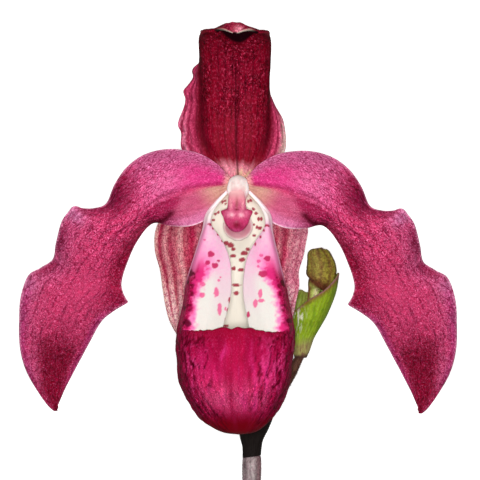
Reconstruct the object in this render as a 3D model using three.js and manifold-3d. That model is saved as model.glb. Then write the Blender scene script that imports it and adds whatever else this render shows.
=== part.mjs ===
// A cut bloom of a slipper orchid (Phragmipedium), lying on its back on a table.
//
// The flower is laid out in its own frame, in millimetres: x to the right, y up along the
// upright bloom and z out of its face, with the middle of the flower at 0, 0, 0. The group
// then sets that frame down so that the lying bloom has its bottom centre at the origin:
// the ovary's elbow and the two petal tips are the three points that touch the table.
import * as THREE from "three";
import Module from "manifold-3d";

const wasm = await Module();
wasm.setup();

// ---- driving dimensions, mm ------------------------------------------------------------
const FLOWER_AT = [0, 41.9, 24.6]; // middle of the flower in the lying bloom's frame
const BLADE = 0.85; // thickness of a petal or sepal along its midrib
const MARGIN = 0.62; // thickness of a petal or sepal at its edge
const POUCH_WALL = 1; // thickness of the lip's wall
const LOBE_THICK = 0.7; // thickness of the lip's infolded side lobes
const RIM_Y = -36.4; // height of the pouch's front rim
const LOBE_END_Y = -42; // where the infolded side lobes end, down behind the front rim
const STEM_R = 2.25; // radius of the flower stem
const CUT_Y = -124; // where the stem was cut
const BRACT_THICK = 0.62; // thickness of the bracts
const RIGHT_DROOP = 0.6; // how much lower the right petal hangs than the left one

const COLOURS = {
  crimson: "#b02a55",
  wine: "#7d1029",
  blush: "#c4737f",
  magenta: "#b81f58",
  ivory: "#efe2dc",
  rose: "#d8547c",
  leaf: "#86982c",
  olive: "#81702a",
  bark: "#6f5f5c",
  shade: "#2a2422",
};

// ---- curves and solids -------------------------------------------------------------------

// A smooth line through stations [t, a, b, ...]: a cubic between each two, whose slope at
// a station is that of the chord between its neighbours. Returns t => [a, b, ...].
function through(stations) {
  const last = stations.length - 1;
  const slope = (i, k) => {
    const [p, q] = [stations[Math.max(i - 1, 0)], stations[Math.min(i + 1, last)]];
    return (q[k] - p[k]) / (q[0] - p[0]);
  };
  return (t) => {
    let i = 0;
    while (i < last - 1 && t > stations[i + 1][0]) i += 1;
    const [p, q] = [stations[i], stations[i + 1]];
    const span = q[0] - p[0];
    const u = Math.min(Math.max((t - p[0]) / span, 0), 1);
    const [u2, u3] = [u * u, u * u * u];
    return p.slice(1).map((a, n) => {
      const k = n + 1;
      const ease = 3 * u2 - 2 * u3;
      const leave = (u3 - 2 * u2 + u) * span * slope(i, k);
      const arrive = (u3 - u2) * span * slope(i + 1, k);
      return a + (q[k] - a) * ease + leave + arrive;
    });
  };
}

const steps = (n, from = 0, to = 1) =>
  Array.from({ length: n + 1 }, (_, i) => from + ((to - from) * i) / n);

// Rows of points as one list with its four-sided faces. wrap joins each row's ends.
function weave(rows, wrap = false) {
  const width = rows[0].length;
  const faces = [];
  for (let i = 0; i < rows.length - 1; i += 1)
    for (let j = 0; j < (wrap ? width : width - 1); j += 1) {
      const k = (j + 1) % width;
      faces.push([i * width + j, i * width + k, (i + 1) * width + k, (i + 1) * width + j]);
    }
  return { points: rows.flat(), faces };
}

// Faces from ring, a closed row of count points from number first on, to the point tip.
const fan = (count, first, tip) =>
  steps(count - 1, 0, count - 1).map((j) => [first + j, first + ((j + 1) % count), tip, tip]);

// Splits each face the same way into triangles, and drops those that have no area.
const triangles = (faces) =>
  faces
    .flatMap(([a, b, c, d]) => [[a, b, c], [a, c, d]])
    .filter(([a, b, c]) => a !== b && b !== c && a !== c);

function geometryOf(points, tris) {
  const g = new THREE.BufferGeometry();
  g.setAttribute("position", new THREE.Float32BufferAttribute(points.flatMap((p) => p.toArray()), 3));
  let volume = 0;
  for (const [a, b, c] of tris) volume += points[a].dot(points[b].clone().cross(points[c]));
  g.setIndex(volume < 0 ? tris.flatMap(([a, b, c]) => [a, c, b]) : tris.flat());
  return g;
}

// A sheet with its thickness: the two faces lie half of thick(i) each side of the points,
// and a rim joins them along every open edge.
function thicken({ points, faces }, thick) {
  const tris = triangles(faces);
  const normals = points.map(() => new THREE.Vector3());
  for (const [a, b, c] of tris) {
    const n = points[b].clone().sub(points[a]).cross(points[c].clone().sub(points[a]));
    for (const i of [a, b, c]) normals[i].add(n);
  }
  const count = points.length;
  const face = (side) =>
    points.map((p, i) => p.clone().addScaledVector(normals[i].clone().normalize(), (side * thick(i)) / 2));
  const directed = new Set(tris.flatMap(([a, b, c]) => [`${a},${b}`, `${b},${c}`, `${c},${a}`]));
  const rim = [...directed]
    .map((edge) => edge.split(",").map(Number))
    .filter(([a, b]) => !directed.has(`${b},${a}`))
    .flatMap(([a, b]) => [[b, a, a + count], [b, a + count, b + count]]);
  const back = tris.map(([a, b, c]) => [a + count, c + count, b + count]);
  return geometryOf([...face(1), ...face(-1)], [...tris, ...back, ...rim]);
}

// A petal, sepal or bract: place(t, s) runs from its base, t = 0, to its tip, t = 1, and
// from one edge, s = -1, to the other, s = 1. It thins from BLADE at s = 0 to MARGIN.
function blade(rows, cols, place) {
  const across = steps(cols, -1, 1);
  const grid = steps(rows).map((t) => across.map((s) => place(t, s)));
  return thicken(weave(grid), (i) => BLADE - (BLADE - MARGIN) * Math.abs(across[i % (cols + 1)]) ** 3);
}

// A point beside the path at = t => [x, y, z, radius], t from 0 to 1, where angle turns from
// the right side to the front; shape scales the radius.
function beside(at, t, angle, shape = 1) {
  const centre = (u) => new THREE.Vector3(...at(u).slice(0, 3));
  const ahead = centre(Math.min(t + 1e-3, 1)).sub(centre(Math.max(t - 1e-3, 0))).normalize();
  const side = new THREE.Vector3(1, 0, 0).addScaledVector(ahead, -ahead.x).normalize();
  const front = side.clone().cross(ahead);
  const r = at(t)[3] * shape;
  return centre(t).addScaledVector(side, r * Math.cos(angle)).addScaledVector(front, r * Math.sin(angle));
}

// A solid stalk along a path of stations [t, x, y, z, radius], closed by flat ends, with
// three rings to each span. shape(angle) scales the radius round the section.
function stalk(stations, sides, shape = () => 1) {
  const at = through(stations);
  const angles = steps(sides - 1, 0, 2 * Math.PI * (1 - 1 / sides));
  const between = stations.slice(1).flatMap(([t], i) => steps(3, stations[i][0], t).slice(1));
  return capped([0, ...between].map((t) => angles.map((angle) => beside(at, t, angle, shape(angle)))));
}

// Rings of points as a solid closed by a fan at each end.
function capped(rings) {
  const sides = rings[0].length;
  const { points, faces } = weave(rings, true);
  const mean = (ring) => ring.reduce((sum, p) => sum.add(p), new THREE.Vector3()).divideScalar(sides);
  const tris = triangles(faces);
  const [foot, head] = [points.length, points.length + 1];
  const top = points.length - sides;
  for (let j = 0; j < sides; j += 1) {
    const k = (j + 1) % sides;
    tris.push([foot, k, j], [head, top + j, top + k]);
  }
  return geometryOf([...points, mean(rings[0]), mean(rings[rings.length - 1])], tris);
}

const solid = (g) =>
  new wasm.Manifold(
    new wasm.Mesh({
      numProp: 3,
      vertProperties: new Float32Array(g.getAttribute("position").array),
      triVerts: new Uint32Array(g.index.array),
    }),
  );

// Closed geometries grown together into one.
function grown(...pieces) {
  const mesh = pieces.map(solid).reduce((a, b) => a.add(b)).getMesh();
  const g = new THREE.BufferGeometry();
  g.setAttribute("position", new THREE.BufferAttribute(mesh.vertProperties.slice(), 3));
  g.setIndex(new THREE.BufferAttribute(mesh.triVerts.slice(), 1));
  return g;
}

// ---- petals ------------------------------------------------------------------------------
// Each hangs from beside the column in an arch and droops backwards to its tip. The midrib
// and the two waved edges are given as [t, outward, y, z]; an edge's z is counted from the
// midrib's: the edge folds back at a notch and flares forward at a lobe.
const PETAL_MIDRIB = through([
  [0, 1.75, -0.25, 0], [0.056, 6.25, -0.5, 0.6], [0.118, 11.2, -1.0, 1.3], [0.19, 16.6, -2.7, 2.1],
  [0.256, 21.3, -5.2, 2.6], [0.318, 25.0, -8.5, 2.6], [0.388, 28.9, -12.5, 1.8],
  [0.452, 32.3, -16.3, 0.4], [0.523, 35.7, -20.8, -1.9], [0.593, 38.8, -25.6, -4.7],
  [0.667, 41.6, -31.0, -8.2], [0.746, 44.0, -37.1, -12.2], [0.827, 45.8, -43.5, -16.2],
  [0.905, 46.5, -50.1, -20.2], [1, 45.4, -57.0, -24.23],
]);
const PETAL_UPPER_EDGE = through([
  [0, 1.4, 0.75, -0.3], [0.056, 5.6, 5.0, -2.0], [0.118, 11, 7.8, -4.0], [0.19, 17.2, 8.5, -5.2],
  [0.256, 23.3, 7.2, -5.6], [0.305, 27.8, 3.9, -6.0], [0.335, 30.4, -0.4, -6.4],
  [0.357, 32.3, -5.0, -6.2], [0.387, 36.2, -6.3, -4.2], [0.43, 40.6, -5.9, -1.6],
  [0.475, 43.7, -9.6, -1.8], [0.523, 45.2, -14.9, -3.2], [0.573, 46.1, -19.3, -4.4],
  [0.605, 49.2, -21.3, -2.6], [0.645, 52.2, -23.1, -0.4],
  [0.69, 54.2, -28.3, -0.4], [0.746, 54.6, -34.4, -1.0], [0.8, 54.2, -40.2, -1.4],
  [0.86, 52.7, -46.6, -1.3], [0.92, 49.8, -51.8, -0.9], [0.97, 46.9, -55.6, -0.4], [1, 45.7, -56.9, 0],
]);
const PETAL_LOWER_EDGE = through([
  [0, 1.9, -1.25, -0.3], [0.056, 4.0, -4.3, -1.2], [0.118, 6.8, -8.3, -1.9], [0.19, 11.3, -10.6, -2.2],
  [0.256, 16.6, -10.6, -2.6], [0.318, 21.2, -9.9, -4.2], [0.388, 25.2, -14.5, -4.6],
  [0.452, 27.6, -19.8, -3.6], [0.523, 28.5, -25.2, -1.6], [0.575, 27.0, -29.6, 1.6],
  [0.615, 30.0, -31.9, 1.4], [0.667, 33.1, -34.6, 0.2], [0.746, 36.4, -40.1, -0.8],
  [0.827, 39.2, -45.6, -1.2], [0.905, 42.5, -51.0, -0.9], [0.965, 44.4, -55.0, -0.4], [1, 45.0, -56.6, 0],
]);

const EDGE_BEND = 1.6; // how late across the blade an edge leaves the midrib's level
const DROOP_BY = 0.25; // share of the petal's length over which the droop comes in

function petal(side, droop) {
  return blade(36, 10, (t, s) => {
    const rib = PETAL_MIDRIB(t);
    const edge = (s > 0 ? PETAL_UPPER_EDGE : PETAL_LOWER_EDGE)(t);
    const k = Math.abs(s);
    const [out, y] = [0, 1].map((n) => rib[n] + (edge[n] - rib[n]) * k);
    const sag = droop * Math.min(1, t / DROOP_BY);
    return new THREE.Vector3(side * out, y - sag, rib[2] + edge[2] * k ** EDGE_BEND);
  });
}

// ---- dorsal sepal --------------------------------------------------------------------------
// It stands up behind the petals and bows forward into a small hood. Its middle is a broad
// raised strip; the two edges roll back behind the strip above and spread below.
const DORSAL_X = -0.75; // where its middle stands
const HOOD_TILT = 0.035; // how far the hood's right side hangs lower, mm a mm
const HOOD_FROM = 0.6; // share of the length where the hood's tilt begins
const FRILL = { deep: 0.7, rate: 46, until: 0.625 }; // waves of the left edge, mm, radians, share
const DORSAL_MIDRIB = through([
  [0, 1.2, -1.9], [0.09, 5, -3.2], [0.23, 12, -4.3], [0.386, 20, -3.9], [0.547, 27.9, -2.0],
  [0.68, 33.9, 1.0], [0.8, 38.0, 4.8], [0.87, 39.7, 7.6], [0.935, 39.4, 10.6], [1, 37.6, 12.9],
]);
// [t, half-width of the strip, how far back its sides lie, how much further back the edges lie]
const DORSAL_STRIP = through([
  [0, 2.2, 0.3, 0.1], [0.09, 5.2, 1.0, 0.8], [0.23, 7.9, 2.6, 1.4], [0.386, 8.2, 3.6, 1.9],
  [0.547, 8.4, 4.0, 2.8], [0.68, 8.5, 3.2, 2.2], [0.8, 6.6, -0.2, 0.2], [0.87, 4.3, -1.8, 0.4],
  [0.935, 2.9, -1.5, 0.3], [1, 0.4, -0.3, 0],
]);
const DORSAL_EDGES = [
  through([
    [0, 2.8], [0.09, 11.2], [0.17, 13.5], [0.245, 13.5], [0.277, 14.3], [0.305, 14.0], [0.357, 12.7],
    [0.392, 12.4], [0.427, 12.9], [0.447, 11.9], [0.483, 10.4], [0.517, 10.5], [0.55, 8.6], [0.62, 6.9],
    [0.72, 7.4], [0.8, 8.9], [0.87, 7.3], [0.935, 4.1], [1, 0.6],
  ]),
  through([
    [0, 2.8], [0.09, 10], [0.16, 12.3], [0.21, 12.8], [0.3, 12], [0.36, 10.1], [0.42, 8.3], [0.5, 7.0],
    [0.62, 6.6], [0.72, 7.4], [0.8, 8.9], [0.87, 7.3], [0.935, 4.1], [1, 0.6],
  ]),
];

function dorsalSepal() {
  return blade(28, 12, (t, s) => {
    const [y, z] = DORSAL_MIDRIB(t);
    const [w, back, more] = DORSAL_STRIP(t);
    const [edge] = DORSAL_EDGES[s < 0 ? 0 : 1](t);
    const wave = s < 0 ? FRILL.deep * Math.sin(FRILL.rate * t) * Math.max(0, 1 - t / FRILL.until) : 0;
    const section = through([
      [0, 0, 0], [0.35, 0.62 * w, -0.2 * back], [0.62, w, -0.74 * back], [1, edge, -back - more + wave],
    ]);
    const [x, lift] = section(Math.abs(s));
    const [a, b] = [DORSAL_MIDRIB(Math.max(t - 0.01, 0)), DORSAL_MIDRIB(Math.min(t + 0.01, 1))];
    const [dy, dz] = [b[0] - a[0], b[1] - a[1]];
    const run = Math.hypot(dy, dz);
    const across = DORSAL_X * Math.min(1, t * 5) + Math.sign(s) * x;
    const tilt = HOOD_TILT * across * Math.max(0, (t - HOOD_FROM) / (1 - HOOD_FROM));
    return new THREE.Vector3(across, y - tilt - (lift * dz) / run, z + (lift * dy) / run);
  });
}

// ---- synsepal ------------------------------------------------------------------------------
// The two lower sepals grown into one broad cupped blade behind the pouch.
const SYNSEPAL_X = -1.7; // where its middle hangs
const SYNSEPAL_CUP = 0.011; // mm forward for each square millimetre across
const SYNSEPAL_WAVE = { deep: 0.5, rate: 24 }; // waves of its edges, mm, radians
const SYNSEPAL_MIDRIB = through([
  [0, -1.4, -1.9], [0.08, -5, -3.1], [0.2, -11, -5.9], [0.4, -21, -8.6], [0.6, -31, -9.5],
  [0.8, -41.5, -9.2], [0.92, -48, -8.2], [1, -52, -7.0],
]);
const SYNSEPAL_WIDTH = through([
  [0, 2.6], [0.05, 9.5], [0.1, 14.6], [0.18, 18.2], [0.25, 19.2], [0.33, 19.0], [0.42, 17.8], [0.5, 17.3],
  [0.6, 16.5], [0.68, 15.3], [0.78, 12], [0.88, 7.8], [0.95, 4], [1, 0.6],
]);

function synsepal() {
  return blade(24, 10, (t, s) => {
    const [y, z] = SYNSEPAL_MIDRIB(t);
    const x = s * SYNSEPAL_WIDTH(t)[0];
    const wave = SYNSEPAL_WAVE.deep * Math.sin(SYNSEPAL_WAVE.rate * t) * s ** 4;
    return new THREE.Vector3(SYNSEPAL_X * Math.min(1, t * 6) + x, y, z + SYNSEPAL_CUP * x * x + wave);
  });
}

// ---- lip -----------------------------------------------------------------------------------
// A slipper: level sections from the claw down to the toe. Above the rim each section is
// open at the front, from one fold to the other, and a side lobe grows inwards from each
// fold; below it is closed.
const CLAW_Y = -2.2; // top of the claw, where the lip leaves the column
// [y, half-width, back z, z of the fold]
const THROAT = through([
  [LOBE_END_Y, 14.3, -5.6, 19.9], [RIM_Y, 13.9, -5.6, 19.6], [-30, 12.3, -5.5, 17.2],
  [-25, 10.9, -5.0, 14.4], [-20, 9.6, -4.2, 11.5], [-16, 8.7, -3.2, 9.1], [-12, 8.0, -2.0, 6.8],
  [-8, 7.4, -0.8, 4.6], [-5, 5.3, 0.3, 3.2], [CLAW_Y, 2.6, 1.2, 2.3],
]);
// [y, half of the gap between the side lobes, how far the lobes bulge forward]
const LOBES = through([
  [LOBE_END_Y, 4.6, -0.4], [RIM_Y, 3.4, 0.9], [-34, 2.8, 1.1], [-31.5, 2.25, 1.2], [-29, 1.5, 1.3],
  [-26.5, 1.1, 1.3], [-23, 1.05, 1.2], [-18, 2.0, 0.9], [-15, 3.5, 0.6], [-11, 5.6, 0.3], [-8, 6.4, 0.1],
]);
// [share of the way from the rim to the toe, y, half-width, back z, front z]
const TOE = through([
  [0, RIM_Y, 13.9, -5.6, 23.9], [0.12, -40.3, 14.1, -5.6, 25.3], [0.26, -45, 13.6, -5.0, 25.8],
  [0.4, -49.7, 12.3, -3.8, 25.0], [0.54, -54, 10.5, -2.0, 22.9], [0.68, -57.7, 8.1, 0.6, 20.0],
  [0.81, -60.3, 5.5, 3.4, 17.0], [0.91, -61.7, 3.0, 6.4, 14.2], [1, -62.2, 0, 10.3, 10.3],
]);
const COLUMNS = 14; // faces round half a section
const FOLD_COLUMN = 8; // which of them ends at the fold
const FOLD_U = FOLD_COLUMN / COLUMNS; // share of the way round half a section at which the fold lies
const SIDE_SHARE = 0.45; // share of a section's depth at which it is widest
const FOLD_SHARE = 0.86; // share of a section's depth at which the fold lies
const FOLD_WIDTH = 0.92; // share of a section's half-width at which the fold lies
const FRONT_WIDTH = 0.56; // share of the half-width at which the closed front flattens
const POUCH_X = through([[-63, 0.3], [-58, -0.4], [-50, -0.8], [-40, -0.6], [-30, -0.3], [-20, 0], [0, 0]]);
const RIM_WAVE = { high: 0.4, rate: 1.1 }; // scallops along the front rim, mm, radians a mm
const LOBE_TOP_Y = -8.6; // where the side lobes begin to part from the folds

// A point of the lip at u, -1 to 1, round the section at this height.
function lipPoint(section, u, y) {
  const [x, z] = section(Math.abs(u));
  return new THREE.Vector3(POUCH_X(y)[0] + Math.sign(u) * x, y, z);
}

// Half a section as u => [x, z], from the middle of the back, u = 0, past the fold to the
// middle of the front or the free edge of a side lobe, u = 1.
function halfSection(w, back, depth, fold, beyond, end) {
  return through([
    [0, 0, back], [0.2, 0.6 * w, back + 0.07 * depth], [0.4, w, back + SIDE_SHARE * depth],
    [FOLD_U, ...fold], [0.8, ...beyond], [1, ...end],
  ]);
}

function throatSection(y) {
  const [w, back, foldZ] = THROAT(y);
  const [gap, bulge] = LOBES(y);
  const fold = [FOLD_WIDTH * w, foldZ];
  const beyond = [(fold[0] + gap) / 2, foldZ + bulge];
  return halfSection(w, back, (foldZ - back) / FOLD_SHARE, fold, beyond, [gap, foldZ - 0.6 * bulge]);
}

function toeSection(share) {
  const [, w, back, front] = TOE(share);
  const depth = front - back;
  const fold = [FOLD_WIDTH * w, back + FOLD_SHARE * depth];
  return halfSection(w, back, depth, fold, [FRONT_WIDTH * w, front - 0.02 * depth], [0, front]);
}

// The pouch and its claw in one sheet, closed by a fan at the toe.
function pouch() {
  const around = steps(2 * COLUMNS - 1, -1, 1 - 1 / COLUMNS);
  const ring = (section, y) => around.map((u) => lipPoint(section, u, y));
  const throatRings = steps(14, CLAW_Y, RIM_Y + 1.8).map((y) => ring(throatSection(y), y));
  const toeRings = steps(13, 0, 0.97).map((share) => ring(toeSection(share), TOE(share)[0]));
  toeRings[0].forEach((p, j) => {
    if (Math.abs(around[j]) > FOLD_U) p.y += RIM_WAVE.high * Math.cos(RIM_WAVE.rate * p.x);
  });
  const { points, faces } = weave([...throatRings, ...toeRings], true);
  const throatEnd = throatRings.length * around.length;
  const opens = (face) => face.some((i) => i < throatEnd && Math.abs(around[i % around.length]) > FOLD_U);
  const [, toeZ] = toeSection(1)(0);
  const toe = points.push(new THREE.Vector3(POUCH_X(TOE(1)[0])[0], TOE(1)[0], toeZ)) - 1;
  const closed = [...faces.filter((face) => !opens(face)), ...fan(around.length, toe - around.length, toe)];
  return thicken({ points, faces: closed }, () => POUCH_WALL);
}

// A side lobe, rooted inside the pouch's wall and tucked down behind the front rim.
function sideLobe(side) {
  const across = steps(7, FOLD_U - 0.09, 1);
  const rows = steps(15, LOBE_TOP_Y, LOBE_END_Y).map((y) => {
    const section = throatSection(y);
    return across.map((u) => lipPoint(section, side * u, y));
  });
  return thicken(weave(rows), () => LOBE_THICK);
}

const lip = () => grown(pouch(), sideLobe(-1), sideLobe(1));

// ---- column and staminode --------------------------------------------------------------------
// The column's root stands on the ovary between the bases of the petals. It bends down and
// ends in the flat round stigma; the staminode is the pink shield in front of it.
// [t, y, z, half-width, half-depth]
const COLUMN = through([
  [0, 0, -2.9, 0.8, 0.8], [0.2, 0, 0.2, 0.8, 0.8], [0.27, 0, 1.1, 2.2, 1.6], [0.36, -0.3, 2.9, 2.4, 1.9],
  [0.48, -2.0, 3.9, 2.1, 1.5], [0.62, -5.0, 4.2, 1.9, 1.1], [0.76, -8.2, 4.3, 3.0, 0.9],
  [0.88, -11.2, 4.5, 3.7, 0.85], [0.96, -13.4, 4.7, 2.6, 0.7], [1, -14.4, 4.8, 0.8, 0.4],
]);
const STAMINODE = through([
  [0, -1.3, 6.3, 1.4, 0.6], [0.12, -2.6, 6.9, 2.3, 1.0], [0.3, -4.6, 7.2, 2.35, 1.1],
  [0.44, -6.1, 7.4, 2.4, 1.1], [0.54, -7.1, 7.6, 3.7, 1.0], [0.62, -8.0, 7.8, 3.6, 1.3],
  [0.76, -9.6, 8.0, 2.9, 1.6], [0.9, -11.2, 7.7, 1.9, 1.4], [1, -12.2, 7.2, 0.6, 0.6],
]);

// Flattened rings across the x axis along [t, y, z, half-width, half-depth].
function flattened(path, rows, sides, dent = () => 0) {
  const rings = steps(rows).map((t) => {
    const [y, z, w, h] = path(t);
    const [a, b] = [path(Math.max(t - 0.01, 0)), path(Math.min(t + 0.01, 1))];
    const ahead = new THREE.Vector3(0, b[0] - a[0], b[1] - a[1]).normalize();
    const out = new THREE.Vector3(1, 0, 0).cross(ahead).negate();
    return steps(sides - 1, 0, 2 * Math.PI * (1 - 1 / sides)).map((angle) => {
      const lift = h * Math.sin(angle) - (Math.sin(angle) > 0.5 ? dent(t, w * Math.cos(angle)) : 0);
      return new THREE.Vector3(w * Math.cos(angle), y, z).addScaledVector(out, lift);
    });
  });
  return capped(rings);
}

const column = () => flattened(COLUMN, 22, 14);
const DIMPLE = { deep: 0.5, at: 0.36, long: 0.12, wide: 0.7 }; // hollow in the shield's face
const dimple = (t, x) =>
  DIMPLE.deep * Math.exp(-(((t - DIMPLE.at) / DIMPLE.long) ** 2) - (x / DIMPLE.wide) ** 2);
const staminode = () => flattened(STAMINODE, 18, 18, dimple);

// ---- ovary, stem and bracts --------------------------------------------------------------------
// The three-ribbed ovary leaves the node on the stem, runs under the pouch and turns up into
// the back of the flower. The stem runs on past the node to carry the bud.
const OVARY_PATH = [
  [0, 2.6, -60.0, -20.2, 1.1], [0.06, 2.4, -57, -20.3, 1.55], [0.18, 2.2, -49, -20.6, 2.1],
  [0.36, 1.8, -34, -21.0, 2.6], [0.52, 0.9, -21, -21.5, 2.75], [0.64, 0.3, -11, -21.6, 2.8],
  [0.75, 0, -4.2, -18.4, 2.7], [0.86, 0, -1.0, -12.4, 2.6], [0.94, 0, -0.3, -7.0, 2.7],
  [1, 0, -0.2, -3.3, 2.8],
];
const STEM_PATH = [
  [0, 2.9, CUT_Y, -21.6, STEM_R], [0.28, 3.3, -100, -21.3, STEM_R], [0.5, 3.4, -77, -20.9, STEM_R],
  [0.555, 3.45, -71.2, -20.6, STEM_R], [0.575, 3.5, -69.4, -20.5, 1.25], [0.6, 3.5, -66.4, -20.4, 1.2],
  [0.66, 4.5, -62.4, -20.0, 1.25], [0.74, 6.6, -57.6, -19.0, 1.4], [0.9, 12.1, -49.8, -17.0, 1.45],
  [1, 15.4, -43.9, -15.7, 1.3],
];
const RIB = 0.06; // how far the ovary's ribs stand out, as a share of its radius
const ribbed = (angle) => 1 + RIB * Math.cos(3 * angle);

// A bract rolled into a sheath round an axis of stations [t, x, y, z, radius]; rim(turn)
// is the share of the axis it reaches at that share of a turn round it, and foot(turn) is
// where it starts. A cup's foot is closed.
function sheath({ axis, rows, cols, rim, foot = () => 0, cup = false }) {
  const at = through(axis);
  const grid = steps(rows).map((v) =>
    steps(cols - 1, 0, 1 - 1 / cols).map((turn) => {
      const t = foot(turn) + v * (rim(turn)[0] - foot(turn));
      return beside(at, t, 2 * Math.PI * turn);
    }),
  );
  const { points, faces } = weave(grid, true);
  const bottom = new THREE.Vector3(...axis[0].slice(1, 4));
  if (cup) faces.push(...fan(cols, 0, points.push(bottom) - 1).map((face) => face.reverse()));
  return thicken({ points, faces }, () => BRACT_THICK);
}

// turn 0 is the right side, 0.25 the front, 0.5 the left and 0.75 the back
const BUD_BRACT = {
  axis: [
    [0, 15.8, -43.0, -15.6, 1.2], [0.06, 16.0, -41.5, -15.4, 1.65], [0.22, 16.7, -38, -15.0, 2.4],
    [0.5, 18.5, -31.7, -14.4, 3.75], [0.75, 20.1, -26.2, -14.0, 4.25], [1, 21.2, -21.0, -13.7, 4.2],
  ],
  rows: 10,
  cols: 18,
  rim: through([
    [0, 0.97], [0.1, 0.88], [0.2, 0.74], [0.3, 0.62], [0.4, 0.5], [0.48, 0.46], [0.56, 0.66], [0.66, 0.66],
    [0.8, 0.78], [0.92, 0.93], [1, 0.97],
  ]),
  cup: true,
};
const BUD_AXIS = [
  [0, 16.3, -40.2, -15.2, 0.9], [0.12, 16.9, -37.6, -14.9, 1.3], [0.4, 18.3, -31.4, -14.3, 1.6],
  [0.5, 18.7, -28.9, -14.2, 2.0], [0.58, 19.3, -25.9, -14.0, 3.1], [0.72, 20.4, -21.7, -13.9, 3.75],
  [0.86, 20.6, -18.3, -13.8, 3.4], [0.95, 20.3, -16.5, -13.7, 2.4], [1, 20.1, -16.0, -13.7, 1.4],
];
const FOOT_SLANT = 0.015; // how far the flower bract's foot slants up on the right, share
const FLOWER_BRACT = {
  axis: [
    [0, 3.45, -69.0, -20.5, 1.9], [0.12, 3.5, -66.0, -20.4, 2.05], [0.22, 3.5, -63.5, -20.3, 2.75],
    [0.34, 3.8, -60.3, -20.1, 3.75], [0.5, 4.1, -56.4, -20.0, 4.0], [0.72, 3.4, -52, -20.3, 3.7],
    [1, 2.2, -46, -20.6, 3.2],
  ],
  rows: 9,
  cols: 16,
  rim: through([
    [0, 0.35], [0.12, 0.34], [0.25, 0.5], [0.4, 0.85], [0.5, 1.0], [0.62, 0.8], [0.75, 0.5],
    [0.88, 0.34], [1, 0.35],
  ]),
  foot: (turn) => FOOT_SLANT * (1 + Math.cos(2 * Math.PI * turn)),
};

// ---- the bloom ---------------------------------------------------------------------------------
function piece(name, geometry, colour, roughness) {
  const material = new THREE.MeshStandardMaterial({ color: colour, roughness, metalness: 0 });
  const mesh = new THREE.Mesh(geometry, material);
  mesh.name = name;
  return mesh;
}

const bloom = new THREE.Group();
bloom.add(
  piece("petal_left", petal(-1, 0), COLOURS.crimson, 0.5),
  piece("petal_right", petal(1, RIGHT_DROOP), COLOURS.crimson, 0.5),
  piece("dorsal_sepal", dorsalSepal(), COLOURS.wine, 0.5),
  piece("synsepal", synsepal(), COLOURS.blush, 0.55),
  piece("lip", lip(), COLOURS.magenta, 0.4),
  piece("column", column(), COLOURS.ivory, 0.45),
  piece("staminode", staminode(), COLOURS.rose, 0.45),
  piece("ovary", stalk(OVARY_PATH, 12, ribbed), COLOURS.bark, 0.6),
  piece("stem", stalk(STEM_PATH, 12), COLOURS.bark, 0.6),
  piece("flower_bract", sheath(FLOWER_BRACT), COLOURS.shade, 0.55),
  piece("bud", stalk(BUD_AXIS, 12), COLOURS.olive, 0.55),
  piece("bud_bract", sheath(BUD_BRACT), COLOURS.leaf, 0.5),
);
bloom.position.set(...FLOWER_AT);

export default bloom;
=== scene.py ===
# A cut bloom of a slipper orchid (Phragmipedium) lying on its back on a pale table, seen from
# above. Each section makes one piece of the bloom, from its petals down to its stem, and the
# last one sets the table, the lights and the camera. Sizes are in millimetres in the flower's
# own frame: x to the right, y up along the bloom and z out of its face.
import math

import bpy
import numpy as np
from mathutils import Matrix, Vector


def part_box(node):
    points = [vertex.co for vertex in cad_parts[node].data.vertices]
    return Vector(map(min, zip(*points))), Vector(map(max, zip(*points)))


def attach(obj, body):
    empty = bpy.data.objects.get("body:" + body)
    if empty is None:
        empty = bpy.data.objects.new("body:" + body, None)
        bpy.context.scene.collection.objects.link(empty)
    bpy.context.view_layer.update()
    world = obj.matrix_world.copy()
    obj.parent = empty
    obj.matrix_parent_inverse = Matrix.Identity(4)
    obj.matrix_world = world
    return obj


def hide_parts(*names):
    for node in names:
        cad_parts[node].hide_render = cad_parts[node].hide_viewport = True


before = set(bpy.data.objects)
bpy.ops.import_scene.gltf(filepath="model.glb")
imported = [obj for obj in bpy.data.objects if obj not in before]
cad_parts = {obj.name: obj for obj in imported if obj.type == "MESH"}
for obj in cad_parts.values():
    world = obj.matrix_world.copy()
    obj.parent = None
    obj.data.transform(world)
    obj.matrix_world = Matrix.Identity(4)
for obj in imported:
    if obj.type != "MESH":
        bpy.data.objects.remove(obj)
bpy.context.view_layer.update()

# ==== petals ==================================================================================
# Two thin blades that arch out from beside the column and droop backwards to their tips. They
# are one living tissue each, about 0.8 mm thick, with notched and waved edges, a midrib that
# lies in a groove, and a net of finer veins under a skin of tiny domed cells.
MM = 0.001
FLOWER_AT = np.array([0.0, 41.9, 24.6])  # middle of the flower in the lying bloom's frame
BLADE = 0.8  # thickness along the midrib
MARGIN = 0.6  # thickness near the edge
EDGE_GAP = 0.04  # what is left of the thickness at the very edge, which is rounded
EDGE_BEND = 1.6  # how late across the blade an edge leaves the midrib's level
RIGHT_DROOP = 0.6  # how much lower the right petal hangs than the left one
DROOP_BY = 0.25  # share of the petal's length over which the droop comes in
PETAL_RELIEF = {"groove": 0.22, "ribs": 0.05, "dents": 0.28, "puckers": 0.11, "crepe": 0.06}  # mm


def cubic(u, span, start, end, leave, arrive):
    """A cubic over a span from start to end, taken at the share u of it; leave and arrive are
    its slopes there."""
    ease = 3 * u**2 - 2 * u**3
    away = (u**3 - 2 * u**2 + u) * span * leave
    home = (u**3 - u**2) * span * arrive
    return start + (end - start) * ease + away + home


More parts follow.
